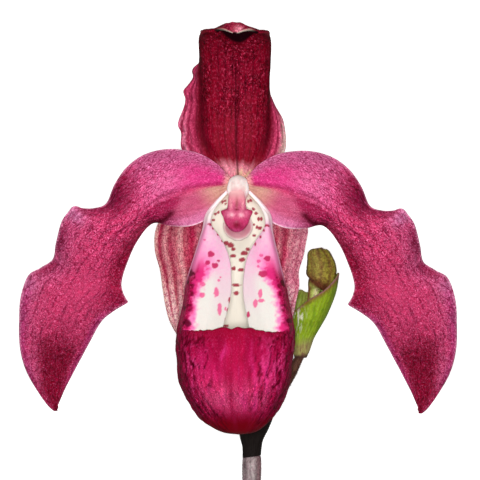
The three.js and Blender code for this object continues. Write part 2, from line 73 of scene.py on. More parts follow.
def through(stations):
    """A smooth line through stations [t, a, b, ...]: between each two a cubic whose slope at a
    station is that of the chord between its neighbours. Gives t -> one array for each column."""
    table = np.array(stations, float)
    knots, values = table[:, 0], table[:, 1:]
    number = np.arange(len(knots))
    before, after = np.maximum(number - 1, 0), np.minimum(number + 1, len(knots) - 1)
    slopes = (values[after] - values[before]) / (knots[after] - knots[before])[:, None]

    def at(t):
        t = np.clip(np.asarray(t, float), knots[0], knots[-1])
        i = np.clip(np.searchsorted(knots, t, side="right") - 1, 0, len(knots) - 2)
        span = (knots[i + 1] - knots[i])[..., None]
        u = (t - knots[i])[..., None] / span
        line = cubic(u, span, values[i], values[i + 1], slopes[i], slopes[i + 1])
        return np.moveaxis(line, -1, 0)

    return at


def heading(path, t, step=0.01):
    """Which way a path runs at t: from a step before it to a step after it."""
    return path(np.minimum(t + step, 1)) - path(np.maximum(t - step, 0))


def rise(x, low, high):
    """0 below low and 1 above high, with an eased step between; low may be the higher one."""
    u = np.clip((x - low) / (high - low), 0, 1)
    return u * u * (3 - 2 * u)


def near(x, middle, reach):
    """A bell: 1 at the middle, and next to nothing two reaches away from it."""
    return np.exp(-(((x - middle) / reach) ** 2))


def mottle(x, y, seed):
    """Smooth noise from -1 to 1: random heights on unit squares, eased between them. Each
    pattern has a seed of its own."""
    heights = np.random.default_rng(seed).uniform(-1, 1, (64, 64))
    i, j = np.floor(x).astype(int), np.floor(y).astype(int)
    u, v = rise(x - i, 0, 1), rise(y - j, 0, 1)
    left = heights[i % 64, j % 64] * (1 - v) + heights[i % 64, (j + 1) % 64] * v
    right = heights[(i + 1) % 64, j % 64] * (1 - v) + heights[(i + 1) % 64, (j + 1) % 64] * v
    return left * (1 - u) + right * u


def cloud(x, y, seed):
    """The same noise from 0 to 1."""
    return 0.5 + 0.5 * mottle(x, y, seed)


def linear(colour):
    """An sRGB hex colour as the three linear numbers that a shader reads."""
    srgb = np.array([int(colour[i : i + 2], 16) for i in (1, 3, 5)]) / 255
    return np.where(srgb <= 0.04045, srgb / 12.92, ((srgb + 0.055) / 1.055) ** 2.4)


def washed(base, *washes):
    """A colour for each point: the base, and over it each wash (colour, cover) in turn, where
    cover is from 0, none, to 1, all."""
    shape = np.broadcast_shapes(*(np.shape(cover) for _, cover in washes))
    tint = np.broadcast_to(linear(base), (*shape, 3))
    for colour, cover in washes:
        share = np.clip(cover, 0, 1)[..., None]
        tint = tint * (1 - share) + linear(colour) * share
    return tint


def with_painted_glints(tint, strength):
    """A colour, and behind it how far painted highlights show on the skin there."""
    return np.concatenate([tint, strength[..., None]], -1)


def weave(rows, cols, wrap=False):
    """The four-sided faces of a grid of points; wrap joins each row's ends."""
    index = np.arange(rows * cols).reshape(rows, cols)
    if wrap:
        index = np.c_[index, index[:, :1]]
    corners = [index[:-1, :-1], index[:-1, 1:], index[1:, 1:], index[1:, :-1]]
    return np.stack(corners, -1).reshape(-1, 4)


def joined(*coordinates):
    """Arrays of coordinates as one array of points."""
    return np.stack(np.broadcast_arrays(*coordinates), -1)


def unit(vectors):
    """Each vector divided by its length."""
    return vectors / np.maximum(np.linalg.norm(vectors, axis=-1, keepdims=True), 1e-9)


def facing(grid, wrap=False):
    """Unit normals of a grid of points, square to its steps down and across."""
    down = np.gradient(grid, axis=0)
    across = np.roll(grid, -1, 1) - np.roll(grid, 1, 1) if wrap else np.gradient(grid, axis=1)
    return unit(np.cross(down, across))


def lengths(grid, axis):
    """How far along its line of points each point of a grid lies: the sum of the steps to it."""
    steps = np.diff(grid, axis=axis, prepend=grid.take([0], axis))
    return np.linalg.norm(steps, axis=-1).cumsum(axis)


def thickened(points, faces, normals, thick):
    """A sheet with its two faces, half of thick each side of its points, and every open edge
    closed. The second half of the points is the face that the normals leave."""
    count = len(points)
    half = normals * (thick / 2)[:, None]
    edges = np.stack([faces, np.roll(faces, -1, 1)], -1).reshape(-1, 2)
    is_open = ~np.isin(edges @ [count, 1], edges @ [1, count])
    a, b = edges[is_open].T
    rim = np.stack([b, a, a + count, b + count], 1)
    both = np.concatenate([points + half, points - half])
    return both, np.concatenate([faces, faces[:, ::-1] + count, rim])


def grow(name, points, faces, tint, run, material, replaces):
    """A named piece from points in mm in the flower's frame and faces, which are turned to face
    out; a face that names a corner twice is three-sided. tint and run are kept at its points:
    its colour, with how far painted highlights show on its skin, and its place across and along
    the piece in mm, which the patterns follow."""
    a, b, c, d = (points[faces[:, k]] for k in range(4))
    volume = (a * np.cross(b, c)).sum() + (a * np.cross(c, d)).sum()
    if volume < 0:
        faces = faces[:, ::-1]
    mesh = bpy.data.meshes.new(name)
    corner = faces != np.roll(faces, -1, 1)
    sizes = corner.sum(1)
    mesh.vertices.add(len(points))
    mesh.vertices.foreach_set("co", ((points + FLOWER_AT) * MM).astype(np.float32).ravel())
    mesh.loops.add(int(sizes.sum()))
    mesh.loops.foreach_set("vertex_index", faces[corner].astype(np.int32))
    mesh.polygons.add(len(faces))
    mesh.polygons.foreach_set("loop_start", (np.cumsum(sizes) - sizes).astype(np.int32))
    mesh.update(calc_edges=True)
    mesh.validate()
    mesh.shade_smooth()
    if tint.shape[1] == 3:
        tint = np.c_[tint, np.ones(len(tint))]
    shade = mesh.attributes.new("tint", "FLOAT_COLOR", "POINT")
    shade.data.foreach_set("color", tint.astype(np.float32).ravel())
    place = mesh.attributes.new("run", "FLOAT_VECTOR", "POINT")
    place.data.foreach_set("vector", run.astype(np.float32).ravel())
    mesh.materials.append(material)
    piece = bpy.data.objects.new(name, mesh)
    bpy.context.scene.collection.objects.link(piece)
    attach(piece, "root")
    if replaces:
        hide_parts(*replaces)


def grow_sheet(name, points, faces, normals, thick, tints, runs, material, replaces):
    """A piece that is a thickened sheet. tints and runs hold an array for each of its two faces;
    points that no face names are left out."""
    points, normals = points.reshape(-1, 3), normals.reshape(-1, 3)
    count = len(points)
    tint, run = (np.concatenate([part.reshape(count, -1) for part in pair]) for pair in (tints, runs))
    points, faces = thickened(points, faces, normals, thick.ravel())
    used, order = np.unique(faces, return_inverse=True)
    order = order.reshape(faces.shape)
    grow(name, points[used], order, tint[used], run[used], material, replaces)


def shares_across(cols):
    """Shares from -1 to 1 across a blade, close together by its edges, where it is rounded."""
    brink = np.array([0.972, 0.988, 0.997, 1.0])
    inner = np.linspace(-0.95, 0.95, cols - 2 * len(brink))
    return np.concatenate([-brink[::-1], inner, brink])


def rounded(thick, inset):
    """The thickness of a sheet, rounded off where inset, the mm to its open edge, runs out."""
    shy = 1 - np.clip(inset / (thick / 2), 0, 1)
    return EDGE_GAP + (thick - EDGE_GAP) * np.sqrt(1 - shy**2)


def blade(name, place, rows, cols, relief, colours, material):
    """A petal or sepal: place(t, s) runs from its base, t = 0, to its tip, t = 1, and from one
    edge, s = -1, to the other, s = 1. relief(t, s, across, along) lifts both faces by its mm, and
    colours gets the face too; across and along are the mm from the middle and from the base.
    The edge is rounded off over the last half of the thickness."""
    t, s = np.linspace(0, 1, rows)[:, None], shares_across(cols)[None, :]
    grid = joined(*place(t, s))
    normals = facing(grid)
    normals *= np.sign(normals[..., 2].mean())
    steps = lengths(grid, 1)
    across = steps - steps[:, cols // 2][:, None]
    along = lengths(grid[:, cols // 2], 0)[:, None]
    t, s, across, along = np.broadcast_arrays(t, s, across, along)
    grid = grid + normals * relief(t, s, across, along)[..., None]
    thick = MARGIN + (BLADE - MARGIN) * (1 - np.abs(s) ** 3)
    thick = rounded(thick, np.minimum(steps, steps[:, -1:] - steps))
    tints = [colours(t, s, across, along, face) for face in (1, -1)]
    runs = [joined(across, along, below) for below in (0.0, 1.0)]
    faces = weave(rows, cols)
    grow_sheet(name, grid, faces, normals, thick, tints, runs, material, [name])


def add(tree, kind, settings, output=0):
    """Adds a shader node. Each setting names a socket or a property; a socket given as its value
    is linked to it. Returns the output with that number or name."""
    node = tree.nodes.new("ShaderNode" + kind)
    sockets = {socket.identifier: socket for socket in node.inputs}
    for name, value in settings.items():
        if name not in sockets:
            setattr(node, name, value)
        elif isinstance(value, bpy.types.NodeSocket):
            tree.links.new(value, sockets[name])
        else:
            sockets[name].default_value = value
    return node.outputs[output] if node.outputs else node


TISSUE_IOR = 1.4  # living cells lie between water, 1.33, and cellulose, 1.47
SCATTER_DEPTH = 0.6  # how far red light spreads in the tissue
SCATTER = (1.0, 0.45, 0.4)  # how far each colour spreads, as a share of that
WANDER = (1.4, 1.4, 0.0)  # how far the patterns wander from straight lines, mm
VEIN_STAIN = (0.5, 0.05, 0.26, 1.0)  # what a vein leaves of the tissue's red, green and blue
# the gaps between the domed cells are painted shade
PAINTED_GAP_SHADE = (0.6, 0.12, 0.36, 1.0)  # what a gap between the domed cells leaves of them
# the main veins and the finer ones between them: how many times finer, the width of their lines,
# how dark they are, the scale of the patches that they show in, and where those begin and are full
NETS = [[1.0, 0.11, 1.0, 0.8, 0.42, 0.58], [2.4, 0.13, 0.9, 1.1, 0.38, 0.54]]


def tissue(name, net, vein, grain, painted_glint, fleck, rough, shine, bump, painted_sheen="#5c4c58", soft=0.0):
    """Living plant tissue. net is the size of the meshes of its vein net, across and along, in
    mm, and vein how much the net darkens it. Its skin of domed cells, each about 0.05 mm wide,
    is drawn as coarse as it needs to show, grain mm across and longer along: painted_glint is
    how far painted highlights lighten the domes, with painted_sheen added to them, and how far
    painted shade darkens the gaps between them; bump is how high they stand in mm. fleck is how
    much its puckers vary in depth of colour. The alpha of tint scales all four. rough and shine
    set the gloss, and soft is how much light spreads in it."""
    material = bpy.data.materials.new(name)
    material.use_nodes = True
    tree = material.node_tree
    tree.nodes.clear()
    tint = add(tree, "Attribute", {"attribute_name": "tint"}, "Color")
    cover = tint.node.outputs["Alpha"]
    run = add(tree, "Attribute", {"attribute_name": "run"}, "Vector")
    sway = add(tree, "TexNoise", {"Vector": run, "Scale": 0.5, "Detail": 3.0}, "Color")
    swayed = add(tree, "VectorMath", {"operation": "MULTIPLY_ADD", "Vector": sway,
                                      "Vector_001": WANDER, "Vector_002": run})
    meshes = add(tree, "VectorMath", {"operation": "MULTIPLY", "Vector": swayed,
                                      "Vector_001": (1 / net[0], 1 / net[1], 1.0)})
    lines = []
    for finer, width, dark, patch, begin, full in NETS:
        walls = add(tree, "TexVoronoi", {"feature": "DISTANCE_TO_EDGE", "voronoi_dimensions": "2D",
                                         "Vector": meshes, "Scale": finer}, "Distance")
        line = add(tree, "MapRange", {"interpolation_type": "SMOOTHSTEP", "Value": walls,
                                      "From Min": width, "From Max": 0.0, "To Max": dark * vein})
        patches = add(tree, "TexNoise", {"Vector": run, "Scale": patch, "Detail": 1.0}, "Fac")
        shown = add(tree, "MapRange", {"Value": patches, "From Min": begin, "From Max": full})
        lines.append(add(tree, "Math", {"operation": "MULTIPLY", "Value": line,
                                        "Value_001": shown}))
    veins = add(tree, "Math", {"operation": "MAXIMUM", "Value": lines[0], "Value_001": lines[1]})
    on_vein = add(tree, "Math", {"operation": "MULTIPLY", "Value": veins, "Value_001": cover})
    veined = add(tree, "Mix", {"data_type": "RGBA", "blend_type": "MULTIPLY",
                               "Factor_Float": on_vein, "A_Color": tint, "B_Color": VEIN_STAIN}, 2)
    puckers = add(tree, "TexNoise", {"Vector": meshes, "Scale": 1.6, "Detail": 2.0}, "Fac")
    shift = add(tree, "MapRange", {"Value": puckers, "From Min": 0.32, "From Max": 0.68,
                                   "To Min": -1.0, "To Max": 1.0})
    span = add(tree, "Math", {"operation": "MULTIPLY", "Value": cover, "Value_001": fleck})
    depth = add(tree, "Math", {"operation": "MULTIPLY_ADD", "Value": shift, "Value_001": span,
                               "Value_002": 1.0})
    deep = add(tree, "VectorMath", {"operation": "SCALE", "Vector": veined, "Scale": depth})
    long = min(1.5, net[1] / net[0])
    skin = add(tree, "VectorMath", {"operation": "MULTIPLY", "Vector": swayed,
                                    "Vector_001": (1 / grain, 1 / (grain * long), 1.0)})
    speck = add(tree, "TexNoise", {"noise_dimensions": "2D", "Vector": skin, "Scale": 1.0,
                                   "Detail": 1.0, "Roughness": 0.6}, "Color")
    first = add(tree, "SeparateColor", {"Color": speck}, "Red")
    second, third = (first.node.outputs[channel] for channel in ("Green", "Blue"))
    # painted highlights on the domes, and painted shade in the gaps between them
    high, high_too, gap = (
        add(tree, "MapRange", {"interpolation_type": "SMOOTHSTEP", "Value": value,
                               "From Min": low, "From Max": top, "To Max": most})
        for value, low, top, most in (
            (first, 0.42, 0.62, 1.0), (second, 0.38, 0.6, 1.0), (third, 0.52, 0.32, painted_glint)))
    dome = add(tree, "Math", {"operation": "MULTIPLY", "Value": high, "Value_001": high_too})
    red = add(tree, "SeparateColor", {"Color": deep}, "Red")
    paleness = add(tree, "MapRange", {"Value": red, "From Min": 0.1, "From Max": 0.55})
    painted_dome_glint = add(tree, "Math", {"operation": "MULTIPLY", "Value": dome, "Value_001": painted_glint})
    covered = add(tree, "Math", {"operation": "MULTIPLY", "Value": painted_dome_glint, "Value_001": cover})
    painted_lit_share = add(tree, "Math", {"operation": "MULTIPLY", "Value": covered, "Value_001": paleness})
    # a dome's painted highlight: its colour lifted, with the painted sheen added
    light = add(tree, "VectorMath", {"operation": "MULTIPLY_ADD", "Vector": deep,
                                     "Vector_001": (1.2, 1.2, 1.2), "Vector_002": linear(painted_sheen)})
    paler = add(tree, "Mix", {"data_type": "RGBA", "Factor_Float": painted_lit_share, "A_Color": deep,
                              "B_Color": light}, 2)
    painted_gap_dim = add(tree, "Math", {"operation": "MULTIPLY", "Value": gap, "Value_001": cover})
    colour = add(tree, "Mix", {"data_type": "RGBA", "blend_type": "MULTIPLY", "Factor_Float": painted_gap_dim,
                               "A_Color": paler, "B_Color": PAINTED_GAP_SHADE}, 2)
    both = add(tree, "Math", {"operation": "ADD", "Value": puckers, "Value_001": dome})
    height = add(tree, "Math", {"operation": "SUBTRACT", "Value": both, "Value_001": on_vein})
    raised = add(tree, "Math", {"operation": "MULTIPLY", "Value": height, "Value_001": cover})
    normal = add(tree, "Bump", {"Height": raised, "Distance": bump * MM})
    surface = add(tree, "BsdfPrincipled", {
        "Base Color": colour, "Roughness": rough, "Normal": normal, "IOR": TISSUE_IOR,
        "Specular IOR Level": shine, "Subsurface Weight": soft, "Subsurface Radius": SCATTER,
        "Subsurface Scale": SCATTER_DEPTH * MM})
    add(tree, "OutputMaterial", {"Surface": surface})
    return material


# [t, outward, y, z]; an edge's z is counted from the midrib's: the edge folds back at a notch
# and flares forward at a lobe
PETAL_MIDRIB = through([
    [0, 1.75, -0.25, 0], [0.056, 6.25, -0.5, 0.6], [0.118, 11.2, -1.0, 1.3], [0.19, 16.6, -2.7, 2.1],
    [0.256, 21.3, -5.2, 2.6], [0.318, 25.0, -8.5, 2.6], [0.388, 28.9, -12.5, 1.8],
    [0.452, 32.3, -16.3, 0.4], [0.523, 35.7, -20.8, -1.9], [0.593, 38.8, -25.6, -4.7],
    [0.667, 41.6, -31.0, -8.2], [0.746, 44.0, -37.1, -12.2], [0.827, 45.8, -43.5, -16.2],
    [0.905, 46.5, -50.1, -20.2], [1, 45.4, -57.0, -24.23],
])
PETAL_UPPER_EDGE = through([
    [0, 1.4, 0.75, -0.3], [0.056, 5.6, 5.0, -2.0], [0.118, 11, 7.8, -4.0], [0.19, 17.2, 8.5, -5.2],
    [0.256, 23.3, 7.2, -5.6], [0.305, 27.9, 3.9, -6.0], [0.335, 30.9, -0.4, -6.4],
    [0.355, 32.9, -5.0, -6.2], [0.38, 35.9, -6.3, -4.4], [0.41, 39.3, -6.4, -2.6],
    [0.428, 41.2, -5.9, -1.6], [0.445, 42.4, -7.2, -1.5], [0.475, 44.1, -9.7, -1.8],
    [0.523, 45.5, -14.9, -3.2], [0.573, 46.4, -19.2, -4.4],
    [0.605, 49.4, -21.2, -2.6], [0.645, 52.5, -23.1, -0.4], [0.69, 54.4, -28.3, -0.4],
    [0.746, 54.9, -34.4, -1.0], [0.8, 54.8, -40.2, -1.4], [0.86, 53.4, -46.6, -1.3],
    [0.92, 50.6, -51.8, -0.9], [0.97, 47.8, -55.8, -0.4], [1, 46.4, -57.1, 0],
])
PETAL_LOWER_EDGE = through([
    [0, 1.9, -1.25, -0.3], [0.056, 4.0, -4.3, -1.2], [0.118, 6.8, -8.3, -1.9],
    [0.19, 11.3, -10.6, -2.2], [0.256, 16.6, -10.6, -2.6], [0.318, 21.2, -9.9, -4.2],
    [0.388, 25.2, -14.5, -4.6], [0.452, 27.7, -19.8, -3.6], [0.523, 29.1, -25.0, -1.6],
    [0.552, 28.7, -27.4, 0.4], [0.568, 27.85, -29.2, 1.4], [0.575, 27.55, -29.85, 1.6],
    [0.583, 28.15, -30.3, 1.6], [0.615, 30.8, -31.9, 1.4], [0.667, 34.1, -34.6, 0.2],
    [0.746, 37.3, -40.1, -0.8], [0.827, 40.2, -45.6, -1.2], [0.905, 43.1, -51.0, -0.9],
    [0.965, 45.0, -55.2, -0.4], [1, 45.7, -57.0, 0],
])


def petal_place(side, droop):
    """The petal's mid-surface: straight across from the midrib to each edge, seen from the
    front, with the depth rising as the share across to the power of EDGE_BEND."""

    def place(t, s):
        rib_x, rib_y, rib_z = PETAL_MIDRIB(t)
        upper, lower = PETAL_UPPER_EDGE(t), PETAL_LOWER_EDGE(t)
        edge_x, edge_y, edge_z = np.where(s > 0, upper, lower)
        k = np.abs(s)
        sag = droop * np.minimum(1, t / DROOP_BY)
        x = side * (rib_x + (edge_x - rib_x) * k)
        return x, rib_y + (edge_y - rib_y) * k - sag, rib_z + edge_z * k**EDGE_BEND

    return place


def petal_relief(t, s, across, along):
    """The groove of the midrib, low ribs of the long veins and soft dents, in mm."""
    deep = PETAL_RELIEF
    groove = -deep["groove"] * near(across, 0, 0.6) * rise(t, 0.55, 0.3) * rise(t, 0.02, 0.08)
    ribs = deep["ribs"] * np.sin(28 * s + 2 * mottle(along / 9, s * 3, 3)) * rise(np.abs(s), 1, 0.8)
    dents = deep["dents"] * mottle(along / 6, across / 5, 5) * rise(t, 0.02, 0.2) * rise(t, 1, 0.85)
    puckers = deep["puckers"] * mottle(along / 1.3, across / 0.9, 6)
    puckers = puckers + deep["crepe"] * mottle(along / 0.7, across / 0.6, 7)
    return groove + ribs + dents + puckers * rise(t, 0.2, 0.4) * rise(np.abs(s), 1, 0.9)


def petal_colours(t, s, across, along, face):
    """Rose pink where it leaves the flower and pale on its lower lobe, crimson through the
    middle, lilac along the edges and wine red towards the tip. The back is duller. Painted shade
    darkens the crevice by the lobe, the notches, the inner edge and the midrib's groove; painted
    light lies pale on the arch and lilac on the edge's flares."""
    patch = cloud(along / 7, across / 4, 10)
    lobe = rise(-s, 0.02, 0.3) * rise(t, 0.33, 0.22)
    crease = near(across + 0.5 * mottle(along / 4, 0 * s, 4), 0, 0.3 + 0.3 * rise(t, 0.3, 0.2))
    streaks = cloud(along / 9, s * 15 + mottle(along / 5, s * 3, 19), 9)
    crevice = s + 0.4 + 5 * (t - 0.205)
    lobe_foot = rise(t, 0.33, 0.3) * rise(-s, 0.02, 0.12)
    out = rise(s, 0.2, 0.9) * rise(t, 0.38, 0.44)
    wander = s * 5 + 0.5 * mottle(along / 5, s * 3, 24)
    veins = near(wander % 1, 0.5, 0.08) * rise(mottle(along / 3, s * 6, 25), -0.2, 0.3)
    tint = washed(
        "#cf3c6a",
        ("#d2347c", rise(t, 0.36, 0.16) * rise(s, -0.1, 0.1)),
        # painted highlight: pale pink along the top of the arch
        ("#e272a0", 0.75 * near(t, 0.22, 0.07) * near(s, 0.3, 0.4)),
        ("#c0608a", 0.9 * rise(s, 0.4, 0.9) * rise(t, 0.34, 0.24)),
        ("#cc6684", lobe),
        ("#a82858", 0.7 * streaks * lobe),
        ("#d884ae", 0.9 * lobe * rise(-s, 0.55, 0.95)),
        ("#a01048", 0.9 * lobe_foot * rise(t, 0.12, 0.21) * rise(crevice, -0.12, 0.1)),
        ("#b02a62", 0.7 * lobe_foot * rise(t, 0.2, 0.27) * rise(crevice, 0.1, -0.1)),
        # painted shade: the dark crevice where the lobe's edge folds under the blade
        ("#4c0218", 0.95 * near(crevice, 0, 0.1) * rise(t, 0.2, 0.235) * rise(t, 0.34, 0.31)),
        ("#c49482", rise(-s, 0.0, 0.2) * rise(t, 0.14, 0.05)),
        # painted shade where the lower edge folds back at its notch
        ("#600626", 0.85 * near(t, 0.315, 0.025) * rise(-s, 0.35, 0.8)),
        # painted shade where the upper edge folds back at its notch
        ("#900c3c", 0.9 * near(t, 0.335, 0.04) * rise(s, 0.1, 0.6) * rise(s, 1.15, 0.85)),
        ("#d46c98", 0.8 * out * patch),
        # painted shade at the upper edge's notches
        ("#640430", 0.7 * near(t, 0.346, 0.014) * rise(s, 0.45, 0.9)),
        ("#7c0638", 0.6 * near(t, 0.578, 0.012) * rise(s, 0.4, 0.9)),
        # painted light: lilac where the upper edge flares forward
        ("#b48ab0", 0.55 * near(t, 0.44, 0.02) * rise(s, 0.5, 0.85)),
        ("#b486aa", 0.5 * near(t, 0.66, 0.03) * rise(s, 0.5, 0.95)),
        # painted shade: dark bands where the upper edge turns back between its flares
        ("#8e0c3e", 0.85 * near(t, 0.38, 0.035) * rise(s, 0.55, 0.95)),
        ("#860c3e", 0.85 * near(t, 0.51, 0.04) * rise(s, 0.6, 0.95)),
        ("#8c0e3c", 0.85 * near(t, 0.6, 0.028) * rise(s, 0.5, 0.9)),
        # painted shade along the inner edge
        ("#92022e", 0.9 * near(t, 0.46, 0.13) * rise(-s, 0.1, 0.75)),
        ("#960232", 0.8 * near(t, 0.575, 0.045) * rise(-s, 0.3, 0.75)),
        ("#b04080", 0.6 * near(t, 0.68, 0.06) * rise(-s, 0.75, 0.95)),
        ("#aa2c6c", 0.75 * rise(t, 0.62, 0.7) * rise(np.abs(s), 0.7, 0.95)),
        ("#880026", 0.92 * rise(t + 0.05 * patch, 0.7, 0.86) * rise(np.abs(s + 0.1), 0.9, 0.35)),
        ("#94042c", 0.6 * rise(t, 0.86, 0.94)),
        # the midrib's own dark line, deepened with painted shade in its groove
        ("#8c0f40", (0.35 * rise(t, 0.28, 0.36) + 0.55) * crease * rise(t, 0.48, 0.4)),
        ("#e0b49c", 0.8 * rise(t, 0.034, 0.01)),
        ("#84083a", 0.7 * veins * rise(t, 0.3, 0.38)),
        ("#ffe2ee", 0.9 * rise(-s, 0.945, 0.97) * rise(t, 0.31, 0.28)),
        ("#e69cba", 0.55 * rise(np.abs(s), 0.93, 0.98) * rise(t + 0.2 * (s > 0), 0.24, 0.26)),
        ("#a03c5c", 0.6 * (face < 0)),
    )
    smooth = near(t, 0.62, 0.1) * near(s, -0.1, 0.5)
    foot = (0.3 + 0.3 * rise(s, 0.6, 0.1)) * rise(t, 0.3, 0.08)
    strength = 1 - 0.2 * lobe * rise(t, 0.32, 0.26) - foot
    strength = strength * (0.8 + 0.2 * patch) * (1 - 0.4 * smooth)
    return with_painted_glints(tint, np.clip(strength, 0, 1))


# a soft sheen over crepe: a wide net of veins sunk between lilac glints, painted as highlights
PETAL_TISSUE = tissue(
    "petal_tissue", net=(1.7, 3.8), vein=1.0, grain=0.3, painted_glint=0.95, fleck=0.22, rough=0.4,
    shine=0.04, bump=0.16, painted_sheen="#b06c94")
for name, side, droop in (("petal_left", -1, 0), ("petal_right", 1, RIGHT_DROOP)):
    blade(name, petal_place(side, droop), rows=300, cols=72, relief=petal_relief,
          colours=petal_colours, material=PETAL_TISSUE)

# ==== dorsal sepal ============================================================================
# The upper sepal stands behind the petals and bows forward into a small hood. Its middle is a
# raised, dark strip with a fine midvein; its thinner, paler edges roll back behind the strip
# above and spread out low down, where the left one is frilled. The hood's rim is cream.
DORSAL_X = -0.75  # where its middle stands
HOOD_TILT = 0.035  # how far the hood's right side hangs lower, mm a mm
HOOD_FROM = 0.6  # share of the length where the hood's tilt begins
FRILL = {"deep": 0.7, "rate": 46, "until": 0.625}  # waves of the left edge, mm, radians, share
DORSAL_RELIEF = {"groove": 0.2, "ribs": 0.09, "puckers": 0.1}  # mm
# [t, y, z]
DORSAL_MIDRIB = through([
    [0, 1.2, -1.9], [0.09, 5, -3.2], [0.23, 12, -4.3], [0.386, 20, -3.9], [0.547, 27.9, -2.0],
    [0.68, 33.9, 1.0], [0.8, 38.0, 4.8], [0.87, 39.7, 7.6], [0.935, 39.4, 10.6], [1, 37.6, 12.9],
])
# [t, half-width of the strip, how far back its sides lie, how much further back the edges lie]
DORSAL_STRIP = through([
    [0, 2.2, 0.3, 0.1], [0.09, 5.2, 1.0, 0.8], [0.23, 7.9, 2.6, 1.4], [0.386, 8.2, 3.6, 1.9],
    [0.547, 8.4, 4.0, 2.8], [0.68, 8.6, 3.2, 2.2], [0.8, 7.0, -0.4, 0.2], [0.87, 4.1, -2.4, 0.4],
    [0.935, 2.9, -1.5, 0.3], [1, 0.4, -0.3, 0],
])
# [t, how far across the edge lies]
HOOD_EDGE = [
    [0.72, 7.9], [0.77, 8.6], [0.8, 8.4], [0.825, 7.9], [0.85, 7.2], [0.87, 6.6], [0.935, 4.1],
    [1, 0.6],
]
DORSAL_LEFT_EDGE = through([
    [0, 2.8], [0.09, 11.2], [0.17, 13.5], [0.245, 13.5], [0.277, 14.3], [0.305, 14.0],
    [0.357, 12.7], [0.392, 12.4], [0.427, 12.9], [0.447, 11.9], [0.483, 10.4], [0.517, 10.5],
    [0.55, 8.6], [0.62, 6.9], *HOOD_EDGE,
])
DORSAL_RIGHT_EDGE = through([
    [0, 2.8], [0.09, 10], [0.16, 12.3], [0.21, 12.8], [0.3, 12], [0.36, 10.1], [0.42, 8.3],
    [0.5, 7.0], [0.62, 6.6], *HOOD_EDGE,
])
STRIP_SHARES = np.array([0, 0.35, 0.62, 1])  # where across half a section its stations lie


def eased(k, shares, stations):
    """A smooth line through arrays of stations at these shares of the way, taken at each k: the
    same cubic as through() gives, for stations that themselves change along the piece."""
    gaps = np.diff(shares)
    inner = [(stations[i + 1] - stations[i - 1]) / (shares[i + 1] - shares[i - 1])
             for i in range(1, len(shares) - 1)]
    ends = [(stations[i + 1] - stations[i]) / gaps[i] for i in (0, len(gaps) - 1)]
    slopes = [ends[0], *inner, ends[1]]
    line = 0
    for i, gap in enumerate(gaps):
        last = i == len(gaps) - 1
        inside = (k >= shares[i]) & ((k <= shares[i + 1]) if last else (k < shares[i + 1]))
        u = (k - shares[i]) / gap
        piece = cubic(u, gap, stations[i], stations[i + 1], slopes[i], slopes[i + 1])
        line = line + inside * piece
    return line


def dorsal_place(t, s):
    """The dorsal sepal's mid-surface: at each point of the midrib a section square to it, from
    the middle over the strip's shoulder to the edge."""
    y, z = DORSAL_MIDRIB(t)
    w, back, more = DORSAL_STRIP(t)
    edge = np.where(s < 0, DORSAL_LEFT_EDGE(t)[0], DORSAL_RIGHT_EDGE(t)[0])
    frill = FRILL["deep"] * np.sin(FRILL["rate"] * t) * np.maximum(0, 1 - t / FRILL["until"])
    wave = np.where(s < 0, frill, 0)
    k = np.abs(s)
    x = eased(k, STRIP_SHARES, [0 * t, 0.62 * w, w, edge])
    lift = eased(k, STRIP_SHARES, [0 * t, -0.2 * back, -0.74 * back, -back - more + wave])
    dy, dz = heading(DORSAL_MIDRIB, t)
    run = np.hypot(dy, dz)
    across = DORSAL_X * np.minimum(1, t * 5) + np.sign(s) * x
    tilt = HOOD_TILT * across * np.maximum(0, (t - HOOD_FROM) / (1 - HOOD_FROM))
    return across, y - tilt - lift * dz / run, z + lift * dy / run


def dorsal_relief(t, s, across, along):
    """The fine groove of the midvein and the low ribs of the long veins, in mm."""
    deep = DORSAL_RELIEF
    groove = -deep["groove"] * near(across, 0, 0.45) * rise(t, 0.75, 0.6)
    veins = np.sin(24 * s + 1.5 * mottle(along / 7, s * 3, 11))
    ribs = deep["ribs"] * veins * rise(np.abs(s), 1, 0.85)
    return groove + ribs + deep["puckers"] * mottle(along / 2.5, across / 2, 12) * rise(t, 0.9, 0.8)


